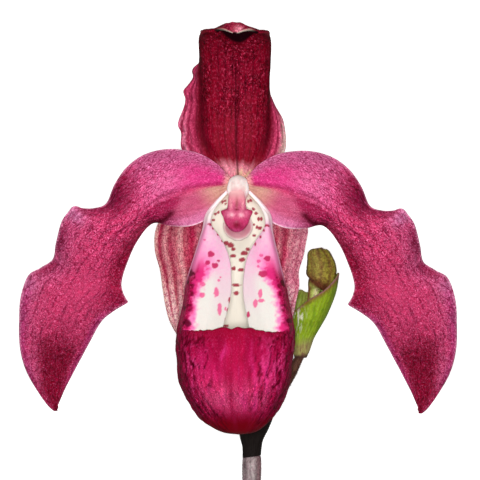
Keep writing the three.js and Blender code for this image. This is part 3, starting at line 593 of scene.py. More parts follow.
def dorsal_colours(t, s, across, along, face):
    """Dark crimson with darker bands down the strip's shoulders, rose edges streaked along
    their veins, a pale foot, and a cream rim round the hood's tip. The bands at the shoulders
    are painted shade, as is the near black under the hood, and the strip's lighter middle is a
    painted highlight."""
    k = np.abs(s)
    blotch = cloud(along / 2.2, across / 1.4, 21)
    streak = 0.5 + 0.5 * np.sin(60 * s + 3 * mottle(along / 5, s * 4, 22))
    brim = rise(k, 0.66, 0.82) * rise(t, 0.62, 0.5)
    veins = near((s * 9 + 0.25 * mottle(along / 6, s * 2, 23)) % 1, 0.5, 0.1)
    foot = t - 0.022 * mottle(s * 13, along / 9, 27)
    # painted shadow: the inner face just under the hood's rim
    shade = (face > 0) * rise(t - 0.005 * (across - 0.6) ** 2, 0.7, 0.73)
    tint = washed(
        "#780018",
        ("#8c0426", 0.8 * blotch * rise(t, 0.1, 0.25)),
        # painted highlight: the middle of the strip lighter
        ("#8c0a2c", 0.5 * near(t, 0.5, 0.16) * rise(k, 0.5, 0.1)),
        ("#8a0626", 0.6 * near(t, 0.25, 0.16) * rise(k, 0.45, 0.1)),
        # painted shade: dark bands down the strip's shoulders, where its edges turn back
        ("#4a0414", 0.8 * near(k, 0.62, 0.1) * rise(t, 0.1, 0.2) * rise(t, 0.97, 0.9)),
        ("#b83a60", brim),
        ("#cf7c96", brim * rise(k, 0.8, 0.97) * rise(t, 0.4, 0.25) * streak),
        ("#7c0c30", 0.7 * brim * rise(streak, 0.55, 0.2)),
        ("#c9b3a6", 0.9 * rise(s, 0.86, 0.97) * rise(t, 0.36, 0.2) * rise(t, 0.08, 0.13)),
        ("#4c0314", 0.6 * veins * rise(t, 0.06, 0.15) * rise(t, 0.85, 0.6)),
        ("#d08290", rise(foot, 0.12, 0.05) * rise(k, 0.75, 0.3)),
        ("#ccb088", 0.8 * rise(foot, 0.075, 0.02) * rise(s, -0.3, 0.2)),
        ("#470414", 0.85 * near(across, 0, 0.28) * rise(t, 0.7, 0.5)),
        # painted shadow under the hood, near black
        ("#0c0106", 0.97 * shade),
        ("#7e1c3c", 0.65 * (face < 0) * rise(t, 0.8, 0.7)),
        ("#5c0418", 0.9 * (face < 0) * rise(t, 0.74, 0.8)),
        ("#a01238", 0.9 * (face < 0) * rise(t, 0.8, 0.88) * near(across, 0.6, 3.6)),
        ("#e7a5ae", 0.9 * (face < 0) * near(across, 1.1, 1.1) * rise(t, 0.93, 0.99)),
        ("#ddd0bd", rise(k, 0.9, 0.97) * rise(t, 0.9, 0.94) * near(across, 0.6, 3.2)),
    )
    patch = rise(mottle(along / 3.5, across / 2.5, 28), -0.5, 0.4)
    # where the painted highlights show
    painted_glints = rise(k, 0.75, 0.5) * rise(t, 0.1, 0.5) * (0.3 + 0.7 * patch)
    strength = (0.3 + 0.7 * painted_glints + 0.1 * brim) * (1 - shade)
    return with_painted_glints(tint, np.clip(strength, 0, 1))


# deep crimson velvet: coarse puckers with rose flecks painted on as highlights
DORSAL_TISSUE = tissue(
    "dorsal_tissue", net=(1.4, 2.6), vein=0.9, grain=0.48, painted_glint=1.0, fleck=0.35, rough=0.4,
    shine=0.05, bump=0.2, painted_sheen="#ff6c96")
blade("dorsal_sepal", dorsal_place, rows=240, cols=90, relief=dorsal_relief,
      colours=dorsal_colours, material=DORSAL_TISSUE)

# ==== synsepal ================================================================================
# The two lower sepals grown into one broad cupped blade behind the pouch. It is dusty pink,
# striped lengthwise by crimson veins that a finer net joins.
SYNSEPAL_X = -1.7  # where its middle hangs
SYNSEPAL_CUP = 0.011  # mm forward for each square millimetre across
# [t, how much narrower its right half is than its left one]
SYNSEPAL_LEAN = through([
    [0, 0], [0.15, -0.02], [0.21, -0.018], [0.28, 0.028], [0.355, 0.04], [0.425, 0.045],
    [0.5, 0.016], [0.57, 0.024], [0.7, 0.02], [1, 0.006],
])
SYNSEPAL_WAVE = {"deep": 0.5, "rate": 24}  # waves of its edges, mm, radians
SYNSEPAL_RELIEF = {"ribs": 0.1, "puckers": 0.1}  # mm
# [t, y, z]
SYNSEPAL_MIDRIB = through([
    [0, -1.4, -1.9], [0.08, -5, -3.1], [0.2, -11, -5.9], [0.4, -21, -8.6], [0.6, -31, -9.5],
    [0.8, -41.5, -9.2], [0.92, -48, -8.2], [1, -52, -7.0],
])
# [t, half-width]
SYNSEPAL_WIDTH = through([
    [0, 2.6], [0.05, 9.5], [0.1, 14.6], [0.18, 18.2], [0.25, 19.2], [0.33, 19.0], [0.42, 17.8],
    [0.5, 17.3], [0.6, 16.4], [0.68, 15.2], [0.78, 12], [0.88, 7.8], [0.95, 4], [1, 0.6],
])


def synsepal_place(t, s):
    """The synsepal's mid-surface: cupped forward with the square of the distance across, and
    waved along its edges."""
    y, z = SYNSEPAL_MIDRIB(t)
    x = s * SYNSEPAL_WIDTH(t)[0]
    x = x * (1 - SYNSEPAL_LEAN(t)[0] * (s > 0))
    wave = SYNSEPAL_WAVE["deep"] * np.sin(SYNSEPAL_WAVE["rate"] * t) * s**4
    return SYNSEPAL_X * np.minimum(1, t * 6) + x, y, z + SYNSEPAL_CUP * x * x + wave


def synsepal_stripes(s, along):
    """1 on each of the long veins, which lie a ninth of the half-width apart and wander."""
    return near((s * 9 + 0.3 * mottle(along / 9, s * 4, 31)) % 1, 0.5, 0.18)


def synsepal_relief(t, s, across, along):
    """Low ribs along the veins and shallow puckers between them, in mm."""
    ribs = SYNSEPAL_RELIEF["ribs"] * synsepal_stripes(s, along)
    return ribs + SYNSEPAL_RELIEF["puckers"] * mottle(along / 2, across / 1.5, 32)


def synsepal_colours(t, s, across, along, face):
    """Rose with crimson veins, paler low down, with darker bands along its left side. The paleness low
    down is partly painted fill light, and the crimson band next to the pouch partly painted shade.
    """
    blotch = cloud(along / 2.5, across / 1.2, 33)
    stripes = synsepal_stripes(s, along)
    return washed(
        "#ecb4b0",
        ("#d84078", (0.75 + 0.15 * rise(t, 0.5, 0.4)) * blotch),
        ("#b80844", 0.85 * stripes),
        # partly its own colour, partly painted fill light: paler low down, more on the left
        ("#f8dcd4", (0.6 + 0.35 * (s < 0)) * (1 - stripes) * rise(t, 0.44, 0.56)),
        # partly its own colour, partly painted shade: the crimson band next to the pouch
        ("#bc0c4a", 0.95 * near(s, -0.55, 0.1) * rise(t, 0.75, 0.6) * (0.7 + 0.3 * blotch)),
        ("#9c0a3c", 0.85 * near(s, -0.8, 0.045) * rise(t, 0.68, 0.5)),
        ("#980c3c", 0.85 * near(s, -0.92, 0.035) * rise(t, 0.62, 0.45)),
        ("#e2b4aa", 0.6 * (near(s, -0.68, 0.05) + near(s, -0.865, 0.03))),
        ("#9c1440", 0.7 * near(s, 0.7, 0.05) * rise(t, 0.7, 0.5)),
        ("#c890a0", 0.45 * rise(s, 0.76, 0.84)),
        ("#c8a494", 0.8 * rise(-s, 0.95, 0.99)),
        ("#b06478", 0.5 * (face < 0)),
    )


# thinner and flatter than the petals: a fine, even net and little gloss
SYNSEPAL_TISSUE = tissue(
    "synsepal_tissue", net=(1.0, 2.2), vein=0.8, grain=0.34, painted_glint=0.75, fleck=0.2, rough=0.4,
    shine=0.04, bump=0.1, painted_sheen="#80505c")
blade("synsepal", synsepal_place, rows=220, cols=84, relief=synsepal_relief,
      colours=synsepal_colours, material=SYNSEPAL_TISSUE)

# ==== lip =====================================================================================
# The slipper: one tissue about a millimetre thick, grown into a pouch that hangs from a narrow
# claw. Its two side lobes fold inwards over the mouth and tuck down behind the front rim. The
# outside is magenta, the folds are wine red, and the lobes and the lining are pale and spotted.
POUCH_WALL = 1.0  # thickness of the wall
LOBE_THICK = 0.7  # thickness of the side lobes
LOBE_ROOT = 0.07  # share of the way round over which a lobe is grown onto the wall
LOBE_SKIN = 0.1  # how much thicker it is there than the wall, to cover it
CLAW_Y = -2.2  # top of the claw, where the lip leaves the column
RIM_Y = -36.4  # height of the pouch's front rim
LOBE_TOP_Y = -4.6  # where the side lobes begin to part from the folds
LOBE_END_Y = -42.0  # where they end, down behind the front rim
FOLD_U = 8 / 14  # share of the way round half a section at which the fold lies
SIDE_SHARE = 0.45  # share of a section's depth at which it is widest
FOLD_SHARE = 0.86  # share of a section's depth at which the fold lies
FOLD_WIDTH = 0.92  # share of a section's half-width at which the fold lies
FRONT_WIDTH = 0.56  # share of the half-width at which the closed front flattens
ROUND_SHARES = np.array([0, 0.2, 0.4, FOLD_U, 0.8, 1])  # where half a section's stations lie
HALF_ROUND = 45.0  # the way round half a section of the pouch
WRINKLES = 0.3  # how high its wrinkles stand
FRONT_RIBS = 0.2  # how high the two ribs down its front stand
# [y, half-width, back z, z of the fold]
THROAT = through([
    [LOBE_END_Y, 14.3, -5.6, 19.9], [RIM_Y, 13.9, -5.6, 19.6], [-30, 12.6, -5.5, 17.2],
    [-25, 11.75, -5.0, 14.4], [-20, 10.4, -4.2, 11.5], [-16, 9.3, -3.2, 9.1],
    [-12, 8.3, -2.0, 6.8], [-8, 7.6, -0.8, 4.6], [-5, 5.4, 0.3, 3.2], [CLAW_Y, 2.6, 1.2, 2.3],
])
# [y, half of the gap between the side lobes, how far the lobes bulge forward, how far the gap
# lies to the right of the pouch's middle]
LOBES = through([
    [LOBE_END_Y, 4.6, -0.4, 0], [RIM_Y, 3.35, 0.9, 0], [-34, 2.75, 1.1, 0.05],
    [-31.5, 2.15, 1.2, 0.08], [-29, 1.68, 1.3, 0.18], [-26.5, 1.45, 1.3, 0.35],
    [-23, 1.6, 1.2, 0.5], [-20.5, 1.88, 1.1, 0.5], [-18, 2.5, 0.9, 0.46], [-15.5, 3.6, 0.7, 0.55],
    [-13, 5.2, 0.5, 0.5], [-11.75, 6.15, 0.4, 0.35], [-10.5, 6.85, 0.3, 0.2],
    [-8, 6.75, 0.1, 0], [-4.6, 4.6, 0.0, 0],
])
# [share of the way from the rim to the toe, y, half-width, back z, front z]
TOE = through([
    [0, RIM_Y, 13.9, -5.6, 23.7], [0.12, -40.3, 14.1, -5.6, 25.3], [0.26, -45, 13.6, -5.0, 25.8],
    [0.4, -49.7, 12.9, -3.8, 25.0], [0.54, -54, 11.2, -2.0, 22.9], [0.68, -57.7, 8.9, 0.6, 20.0],
    [0.81, -60.3, 6.3, 3.4, 17.0], [0.91, -61.8, 3.6, 6.4, 14.2], [1, -62.3, 0, 10.3, 10.3],
])
# [y, x of the pouch's middle]
POUCH_X = through([
    [-63, 0.3], [-58, -0.4], [-50, -0.8], [-40, -0.6], [-30, -0.42], [-24, -0.6], [-19, -0.45],
    [-13, -0.22], [-9, 0], [0, 0],
])
# [x, height of the front rim's wavy edge over RIM_Y]
RIM_EDGE = through([
    [-13, -0.3], [-10, -0.4], [-6.5, -0.2], [-4.4, 0.4], [-3, 0.35], [-1.6, 0.0], [-0.1, 0.55],
    [1.5, 0.1], [3.4, 0.2], [6, -0.5], [9, -0.8], [12, -0.5],
])


def lip_place(u, y, w, back, depth, fold, beyond, end):
    """Half a section of the lip, mirrored: from the middle of the back, u = 0, past the fold to
    the middle of the front or a side lobe's free edge, u = 1 or -1."""
    zero = 0 * w
    xs = [zero, 0.6 * w, w, fold[0], beyond[0], end[0]]
    zs = [back, back + 0.07 * depth, back + SIDE_SHARE * depth, fold[1], beyond[1], end[1]]
    k = np.abs(u)
    x = POUCH_X(y)[0] + np.sign(u) * eased(k, ROUND_SHARES, xs)
    return joined(x, y, eased(k, ROUND_SHARES, zs))


def throat_place(u, y):
    """The lip above the rim, with its side lobes."""
    w, back, fold_z = THROAT(y)
    gap, bulge, off = LOBES(y)
    gap = gap + off * np.sign(u)
    fold = (FOLD_WIDTH * w, fold_z)
    beyond = ((fold[0] + gap) / 2, fold_z + bulge)
    end = (gap, fold_z - 0.6 * bulge)
    return lip_place(u, y, w, back, (fold_z - back) / FOLD_SHARE, fold, beyond, end)


def toe_place(u, share):
    """The lip below the rim, closed at the front, down to the toe at share = 1. The rim's waves
    die out a little way below it."""
    y, w, back, front = TOE(share)
    depth = front - back
    fold = (FOLD_WIDTH * w, back + FOLD_SHARE * depth)
    beyond = (FRONT_WIDTH * w, front - 0.02 * depth)
    grid = lip_place(u, y, w, back, depth, fold, beyond, (0 * w, front))
    waves = RIM_EDGE(grid[..., 0])[0] * rise(share, 0.12, 0) * rise(np.abs(u), FOLD_U, FOLD_U + 0.06)
    return grid + joined(0.0, waves, 0.0)


def pouch_relief(grid, u):
    """Long wrinkles down the pouch's sides, two soft ribs down its front and fine puckers."""
    y, k = grid[..., 1], np.abs(u)
    low = rise(y, RIM_Y + 3, RIM_Y - 2) * rise(y, -61.8, -58)
    ribs = near(k, 0.93, 0.03) * rise(y, -57, -50)
    side = (0.15 + 0.85 * rise(k, 0.96, 0.8)) * rise(k, 0.3, 0.45)
    return low * (WRINKLES * wrinkled(u, y) * side + FRONT_RIBS * ribs)


def wrinkled(u, y):
    """Long wrinkles that run down the pouch and lean to its middle, with finer ones across."""
    k = np.abs(u)
    lean = k * 44 + np.sign(u) * 7 + 0.3 * (y - RIM_Y) * k
    long = mottle(lean + 1.2 * mottle(y / 4, u * 9, 40), y / 6, 41)
    return long + 0.5 * mottle(u * 60, y / 1.6, 42) + 0.4 * mottle(u * 90, y / 0.9, 47)


def spotted(x, y, spots):
    """How far each point lies in the spots [x, y, half-width, half-height]: 1 inside and 0 from
    a fifth beyond the outline, which wanders a little."""
    cover = 0 * x
    wander = 0.25 * mottle(x * 2.2, y * 2.2, 43)
    for spot_x, spot_y, wide, high in spots:
        reach = np.hypot((x - spot_x) / wide, (y - spot_y) / high)
        cover = np.maximum(cover, rise(reach + wander, 1.22, 0.9))
    return cover


# spots are [x, y, half-width, half-height]
LINING_SPOTS = [
    [-2.9, -14.9, 0.75, 0.5], [-1.9, -15.4, 0.75, 0.6], [-1.2, -16.4, 0.55, 0.45],
    [-1.25, -18.1, 0.75, 0.4], [1.6, -17.4, 0.85, 0.5], [2.5, -16.4, 0.55, 0.4],
    [1.0, -19.1, 0.75, 0.55], [-1.2, -21.3, 0.6, 0.5], [0.8, -21.6, 0.75, 0.45],
    [-0.45, -25.5, 1.05, 0.4], [-0.45, -27.5, 0.85, 0.5], [-3.1, -35.8, 0.7, 0.3],
    [4.25, -13.0, 0.5, 0.35], [5.6, -11.2, 0.65, 0.4], [5.0, -10.95, 0.4, 0.45],
    [4.1, -10.3, 0.4, 0.25], [3.35, -9.9, 0.3, 0.25], [2.5, -9.25, 0.3, 0.2],
    [5.4, -8.9, 0.35, 0.5], [6.1, -8.9, 0.35, 0.5], [4.65, -7.4, 0.55, 0.3], [4.0, -6.3, 0.45, 0.35],
    [3.3, -4.2, 0.4, 0.4], [2.65, -4.5, 0.3, 0.4], [-3.4, -4.3, 0.4, 0.3], [-4.1, -4.5, 0.35, 0.4],
    [-3.2, -5.0, 0.4, 0.25], [-5.9, -7.6, 0.35, 0.35], [-5.1, -7.15, 0.4, 0.35],
    [-6.5, -9.2, 0.4, 0.35], [-3.5, -10.0, 0.25, 0.3],
]


def pouch_colours(grid, u, face):
    """Outside: magenta, pinker down the middle, wine red at the sides and the toe, and pale
    above the mouth. Lining: cream with dark red spots. The wine red of the rim, the sides and
    the toe is partly painted shade; the pinker band low on the front with its pale blotches and
    patches, and the light on the wrinkles' ridges, are painted highlights, and the dark in the
    wrinkles' furrows is painted shade."""
    x, y = grid[..., 0], grid[..., 1]
    k = np.abs(u)
    blotch = cloud(u * 30, y / 3, 44)
    below = rise(y, RIM_Y + 1, RIM_Y - 2)
    # painted shade in the wrinkles' furrows and painted light on their ridges, below the rim
    furrow_shade = near(wrinkled(u, y), -0.1, 0.17) * below
    ridge = near(wrinkled(u, y), 0.35, 0.2) * below
    streak = mottle(x * 1.1 + mottle(x, y / 4, 55), y / 6, 54) * rise(k, 0.68, 0.8)
    outside = washed(
        "#9c0038",
        ("#aa0444", rise(k, 0.74, 0.9) * rise(y, -60, -50)),
        # partly its own colour, partly painted shade: darker below the rim, where the front turns up
        ("#860226", 0.8 * rise(y, RIM_Y - 6, RIM_Y - 1)),
        # painted light: brighter pink low on the front
        ("#d01c5a", 0.8 * near(y, -51.5, 4.8) * rise(k, 0.64, 0.76)),
        # painted highlights: pale blotches low on the front
        ("#f05c90", 0.85 * blotch * near(y, -53.0, 3.2) * rise(k, 0.68, 0.78)),
        # painted sheen: pink patches on the front
        ("#cc2870", 0.6 * blotch * near(k, 0.77, 0.08) * near(y, -46, 5)),
        ("#b00436", 0.6 * near(k, 0.97, 0.03) * rise(y, -52, -44)),
        ("#dc3080", 0.7 * rise(streak, 0.05, 0.7) * rise(y, RIM_Y, RIM_Y - 5)),
        ("#90002c", 0.6 * rise(streak, -0.05, -0.7) * rise(y, -57, -50)),
        # partly its own colour, partly painted shade: wine red sides
        ("#8e0434", 0.8 * rise(k, 0.7, 0.56)),
        # partly its own colour, partly painted shade: the dark toe
        ("#7a000e", 0.95 * rise(y + 0.8 * blotch, -55.5, -59.5)),
        # painted highlights along the wrinkles' ridges
        ("#e04086", 0.65 * ridge * near(y, -47, 8) * rise(k, 0.56, 0.66) * rise(k, 0.92, 0.82)),
        # painted shade in the wrinkles' furrows
        ("#480012", 0.9 * furrow_shade * rise(k, 0.96, 0.8)),
        ("#8c0634", 0.5 * near(np.abs(k - 0.955), 0.02, 0.008) * rise(y, -56, -52)),
        ("#8c0634", 0.4 * near(k, 0.9, 0.008) * rise(y, -52, -47)),
        ("#96042c", 0.6 * rise(y, RIM_Y - 3.5, RIM_Y - 0.5) * rise(k, 0.6, 0.7)),
        ("#a80848", rise(y, RIM_Y, RIM_Y + 3)),
        ("#ffb0d6", rise(y, -27, -21)),
        ("#ffc8e0", rise(y, -22, -15)),
        ("#ffe6ec", rise(y, -14, -9)),
    )
    lining = washed(
        "#f7f0e2",
        ("#dcbfae", 0.6 * rise(y, -6, -3)),
        ("#a6203e", 0.95 * spotted(x, y, LINING_SPOTS) * rise(k, 0.5, 0.4)),
    )
    # how far the painted highlights show
    painted_glints = 0.3 + 0.7 * near(y, -53.5, 3.5) + 0.35 * rise(k, 0.85, 0.72) - 0.3 * rise(y, -57, -60)
    return with_painted_glints(outside, rise(y, -24, -30) * painted_glints) if face > 0 else with_painted_glints(lining, 0 * y)


# satin with wet pink lights, painted as highlights: the cells are large, and the net hardly shows
LIP_TISSUE = tissue(
    "lip_tissue", net=(1.6, 5.0), vein=0.3, grain=0.34, painted_glint=0.9, fleck=0.25, rough=0.5,
    shine=0.03, bump=0.22, painted_sheen="#c04c84")


def pouch():
    """The wall of the claw and the pouch as one sheet of rings, open in front above the rim and
    closed at the toe by rings that run together in a point."""
    edge = FOLD_U - np.array([0.006, 0.002, 0.0])
    half = np.concatenate([
        np.linspace(0, 0.2, 30)[:-1], np.linspace(0.2, 0.4, 24)[:-1], np.linspace(0.4, 0.56, 24),
        edge, np.linspace(FOLD_U, 1, 36)[1:],
    ])
    u = np.concatenate([-half[:0:-1], half[:-1]])[None, :]
    y = np.linspace(CLAW_Y, RIM_Y, 126)[:-1, None]
    share = (1 - (1 - np.linspace(0, 1, 92)) ** 1.25)[:, None]
    grid = np.concatenate([throat_place(u, y), toe_place(u, share)])
    normals = facing(grid, wrap=True)
    normals *= np.sign((normals * (grid - grid.mean(1, keepdims=True))).sum())
    normals[-3:] = [0, -1, 0]
    u = np.broadcast_to(u, grid.shape[:2])
    grid = grid + normals * pouch_relief(grid, u)[..., None]
    rows, cols = u.shape
    faces = weave(rows, cols, wrap=True)
    faces = faces[(np.abs(u.ravel()[faces]).max(1) <= FOLD_U) | (faces.min(1) >= len(y) * cols)]
    steps = lengths(grid, 1)
    folds = np.flatnonzero(np.abs(u[0]) == FOLD_U)
    to_fold = np.abs(steps[:, None, :] - steps[:, folds, None]).min(1)
    below_rim = (grid[len(y), :, 1] - grid[..., 1]) * (np.abs(u) > FOLD_U)
    above = np.arange(rows)[:, None] < len(y)
    inset = np.where(above, to_fold, np.where(np.abs(u) > FOLD_U, below_rim, POUCH_WALL))
    thick = rounded(POUCH_WALL, inset)
    tints = [pouch_colours(grid, u, face) for face in (1, -1)]
    run = joined(np.where(u < 0, u + 1, u - 1) * HALF_ROUND, grid[..., 1], 0.0)
    grow_sheet("lip", grid, faces, normals, thick, tints, [run, run], LIP_TISSUE, ["lip"])


pouch()

LOBE_SPOTS = [
    [-6.75, -18.0, 0.8, 0.75], [-7.5, -20.1, 0.55, 0.5], [-5.75, -20.75, 0.85, 0.65],
    [-4.9, -19.6, 0.4, 0.3], [7.25, -19.0, 0.7, 0.65], [6.25, -22.9, 1.1, 0.8],
    [2.7, -32.9, 0.4, 0.8],
]
PALE_SPOTS = [
    [-8.9, -25.4, 0.7, 0.55], [-8.9, -28.1, 0.65, 0.6], [-5.5, -27.5, 0.55, 1.15],
    [-4.75, -31.5, 0.5, 1.4], [-3.25, -31.5, 0.25, 0.5], [-4.5, -23.75, 0.25, 0.25],
    [-4.9, -24.5, 0.3, 0.3], [-8.1, -14.4, 0.25, 0.2], [5.9, -18.25, 0.5, 0.35],
    [5.25, -19.75, 0.45, 0.4], [5.1, -21, 0.3, 0.25], [5.6, -27.75, 0.45, 1.0],
    [4.4, -30.1, 0.6, 0.9], [5.9, -29.5, 0.7, 0.4],
]
EDGE_SPOTS = [
    [-7.0, -10.6, 0.3, 0.35], [-6.4, -11.5, 0.3, 0.45], [-5.4, -12.3, 0.3, 0.3],
    [-5.2, -13.0, 0.3, 0.35], [-4.05, -14.6, 0.3, 0.35], [7.1, -10.9, 0.25, 0.35],
    [6.55, -12, 0.25, 0.35], [5.75, -13.6, 0.25, 0.35], [4.45, -15.5, 0.25, 0.4],
    [-2.1, -29.3, 0.4, 0.7], [-2.5, -31.8, 0.35, 0.6], [-3.0, -34.2, 0.4, 0.7],
]
FOLD_SPOTS = [
    [-11.4, -22.7, 0.9, 0.7], [-12.4, -24.8, 0.6, 0.6], [-13.2, -27.3, 0.6, 0.7],
    [-13.4, -31.2, 0.7, 0.5], [-12.4, -35.0, 0.8, 0.8], [11.0, -25.2, 0.8, 0.8],
    [12.0, -27.8, 0.6, 0.8], [12.9, -30.5, 0.5, 0.6], [12.6, -34.4, 0.9, 0.6],
]


def lobe_colours(x, y, across, face):
    """Wine red and magenta by the fold, shading through pink to white, with spots; the upper
    end is pale pink, and brighter pink is painted light where it turns away at the fold. across
    is the distance from the fold in mm."""
    ragged = across + 0.6 * mottle(y * 1.3, x * 1.2, 45) + 0.3 * mottle(y * 3.1, x * 2.8, 48)
    reach = 2.0 + 1.6 * near(y, -22.5, 3.5) + 0.5 * rise(y, -33, -36)
    low = rise(y, -18, -22.5)
    shown = washed(
        "#d8d3cc",
        ("#e0c0cc", 0.8 * rise(y, -34, -26) * rise(across, 5, 8)),
        ("#e4b8cc", rise(y, -26, -19)),
        ("#f0a0c8", 0.5 * rise(y, -25, -19) * rise(y, -10, -14)
         * rise(mottle(x * 2.1, y * 2.1, 50), 0.0, 0.6)),
        ("#ee8abc", 0.8 * rise(across, 7.5, 2.0) * rise(y, -26, -19) * rise(y, -13, -20)),
        ("#ea5c98", 0.6 * rise(ragged, 4.6, 1.2) * near(y, -20.5, 1.8)),
        ("#f06cae", 0.9 * low * rise(ragged, reach + 1.5, reach)),
        ("#d42a72", low * rise(ragged, reach + 0.1, reach - 0.9)),
        ("#a00640", 0.9 * rise(y, -18, -24) * rise(ragged, 1.5, 0.5)),
        # painted light: brighter pink where the lobe turns away at the fold, against its shade
        ("#f78cc0", 0.7 * rise(across, 1.3, 0.0) * rise(y, -25, -20) * rise(y, -9, -13)),
        ("#ece0dc", rise(y, -11, -8.5)),
        ("#dd4a86", 0.85 * spotted(x, y, PALE_SPOTS)),
        ("#b82258", 0.95 * spotted(x, y, LOBE_SPOTS)),
        ("#a81440", 0.95 * spotted(x, y, EDGE_SPOTS)),
        ("#560420", 0.9 * spotted(x, y, FOLD_SPOTS)),
        ("#64041e", 0.8 * rise(y, -20, -25) * rise(across, 2.2, 1.0)
         * rise(mottle(y * 1.6, across * 1.1, 49), 0.3, 0.6)),
    )
    if face < 0:
        shown = washed("#ead7d2", ("#d08aa8", 0.4 * rise(y, -25, -17)))
    return with_painted_glints(shown, (face > 0) * rise(across, 1.2, 0.2) * rise(y, -21, -26) + 0.04)


# porcelain-like where it is pale: light goes into it and spreads
LOBE_TISSUE = tissue(
    "lobe_tissue", net=(1.6, 5.0), vein=0.5, grain=0.36, painted_glint=0.75, fleck=0.3, rough=0.4,
    shine=0.06, bump=0.1, painted_sheen="#8c5070", soft=0.1)


def side_lobe(name, side):
    """A side lobe: it grows over the outside of the pouch's wall just behind the fold, turns in
    over the mouth and ends in a free edge, tucked behind the front rim below."""
    inner = np.linspace(FOLD_U - LOBE_ROOT, 0.97, 62)
    k = np.concatenate([inner, [0.982, 0.992, 0.998, 1.0]])[None, :]
    y = np.linspace(LOBE_TOP_Y, LOBE_END_Y, 170)[:, None]
    grid = throat_place(side * k, y)
    normals = facing(grid)
    normals *= np.sign(normals[..., 2].mean())
    steps = lengths(grid, 1)
    at_fold = np.argmin(np.abs(k[0] - FOLD_U))
    across = steps - steps[:, at_fold : at_fold + 1]
    wall = rise(across, 1.2, 0.0)
    thick = LOBE_THICK + (POUCH_WALL + LOBE_SKIN - LOBE_THICK) * wall
    thick = rounded(thick, np.minimum(steps[:, -1:] - steps, 0.15 + steps))
    thick = thick * (0.15 + 0.85 * rise(y, LOBE_TOP_Y, LOBE_TOP_Y - 4))
    swell = 0.12 * mottle(y / 5, across / 3, 46) * rise(across, 0.5, 3)
    grid = grid + normals * swell[..., None]
    run = joined(side * across, y, 0.0)
    x, y, across = np.broadcast_arrays(grid[..., 0], y, across)
    tints = [lobe_colours(x, y, across, face) for face in (1, -1)]
    faces = weave(*x.shape)
    grow_sheet(name, grid, faces, normals, thick, tints, [run, run], LOBE_TISSUE, [])


side_lobe("lip_lobe_left", -1)
side_lobe("lip_lobe_right", 1)

# ==== column and staminode ====================================================================
# The column stands on the ovary between the petals' feet, white and waxy. It bends down and
# ends in the round pale stigma. The staminode is the pink fleshy shield in front of it, with a
# hollow in its face, two horns and a dark red foot.
# both are [t, y, z, half-width, half-depth]
COLUMN = through([
    [0, 0, -2.9, 0.8, 0.8], [0.2, 0, 0.2, 0.8, 0.8], [0.27, 0, 1.1, 2.1, 1.6],
    [0.36, -0.3, 2.9, 2.5, 2.2], [0.48, -2.0, 3.9, 2.75, 1.9], [0.62, -5.0, 4.2, 1.9, 1.1],
    [0.76, -8.2, 4.3, 3.0, 0.9], [0.88, -11.2, 4.5, 3.7, 0.85], [0.96, -13.4, 4.7, 2.6, 0.7],
    [1, -14.4, 4.8, 0.8, 0.4],
])
STAMINODE = through([
    [0, -0.9, 4.0, 0.9, 0.25], [0.12, -2.4, 4.95, 1.8, 0.7], [0.27, -4.2, 6.6, 2.15, 1.1],
    [0.38, -5.6, 7.2, 2.3, 1.1], [0.455, -6.45, 7.4, 2.5, 1.05], [0.495, -6.9, 7.5, 3.75, 0.95],
    [0.54, -7.4, 7.7, 3.95, 1.15], [0.63, -8.4, 7.9, 3.5, 1.4], [0.72, -9.4, 8.0, 3.15, 1.6],
    [0.82, -10.4, 7.9, 2.75, 1.6], [0.9, -11.2, 7.7, 2.1, 1.4], [0.96, -11.7, 7.4, 1.35, 1.1],
    [1, -12.0, 7.2, 0.6, 0.6],
])
STAMINODE_X = -0.3  # how far left of the middle it sits


def capped(rings):
    """Faces of a stack of rings with a fan over each end, and the points with the two ends'
    middles added."""
    count, sides = rings.shape[:2]
    foot, head = count * sides, count * sides + 1
    index = np.arange(sides)
    after = (index + 1) % sides
    top = (count - 1) * sides
    ends = [
        np.stack([after, index, np.full(sides, foot), np.full(sides, foot)], 1),
        np.stack([top + index, top + after, np.full(sides, head), np.full(sides, head)], 1),
    ]
    middles = [rings[0].mean(0), rings[-1].mean(0)]
    points = np.concatenate([rings.reshape(-1, 3), middles])
    return points, np.concatenate([weave(count, sides, wrap=True), *ends])


def with_ends(values):
    """Values on rings as a list, with the mean of each end ring for its middle."""
    flat = values.reshape(-1, values.shape[-1])
    return np.concatenate([flat, [values[0].mean(0), values[-1].mean(0)]])


def flattened(path, rows, sides, press):
    """Rings across the x axis, flattened to the path's half-width and half-depth. press(t, x)
    pushes the front in by its mm. Gives the rings, t and the angle round them."""
    t = (0.5 - 0.5 * np.cos(np.pi * np.linspace(0.02, 0.98, rows)))[:, None]
    angle = np.linspace(0, 2 * np.pi, sides, endpoint=False)[None, :]
    y, z, wide, deep = path(t)
    dy, dz = heading(path, t)[:2]
    length = np.hypot(dy, dz)
    x = wide * np.cos(angle)
    lift = deep * np.sin(angle) - press(t, x) * rise(np.sin(angle), 0, 0.6)
    grid = joined(x, y - lift * dz / length, z + lift * dy / length)
    return (grid[:, ::-1], *np.broadcast_arrays(t, angle[:, ::-1]))


def shield_press(t, x):
    """The groove between the staminode's two arms, the notch where it ends, the hollows beside
    the horns and the dished lower face."""
    groove = 0.6 * near(x, 0, 0.55) * rise(t, 0.1, 0.22) * rise(t, 0.49, 0.42)
    notch = 0.35 * near(t, 0.475, 0.02) * near(x, 0, 0.7)
    brow = 0.22 * near(t, 0.5 - 0.012 * np.abs(x), 0.02) * rise(np.abs(x), 0.6, 1.2)
    dished = 0.35 * near(t, 0.78, 0.09) * near(x, 0, 1.3)
    return groove + notch + brow + dished + 0.08 * mottle(t * 14, x * 1.8, 51)


def column_press(t, x):
    """The stigma's face is slightly dished."""
    return 0.3 * near(t, 0.88, 0.09) * near(x, 0, 2.2)


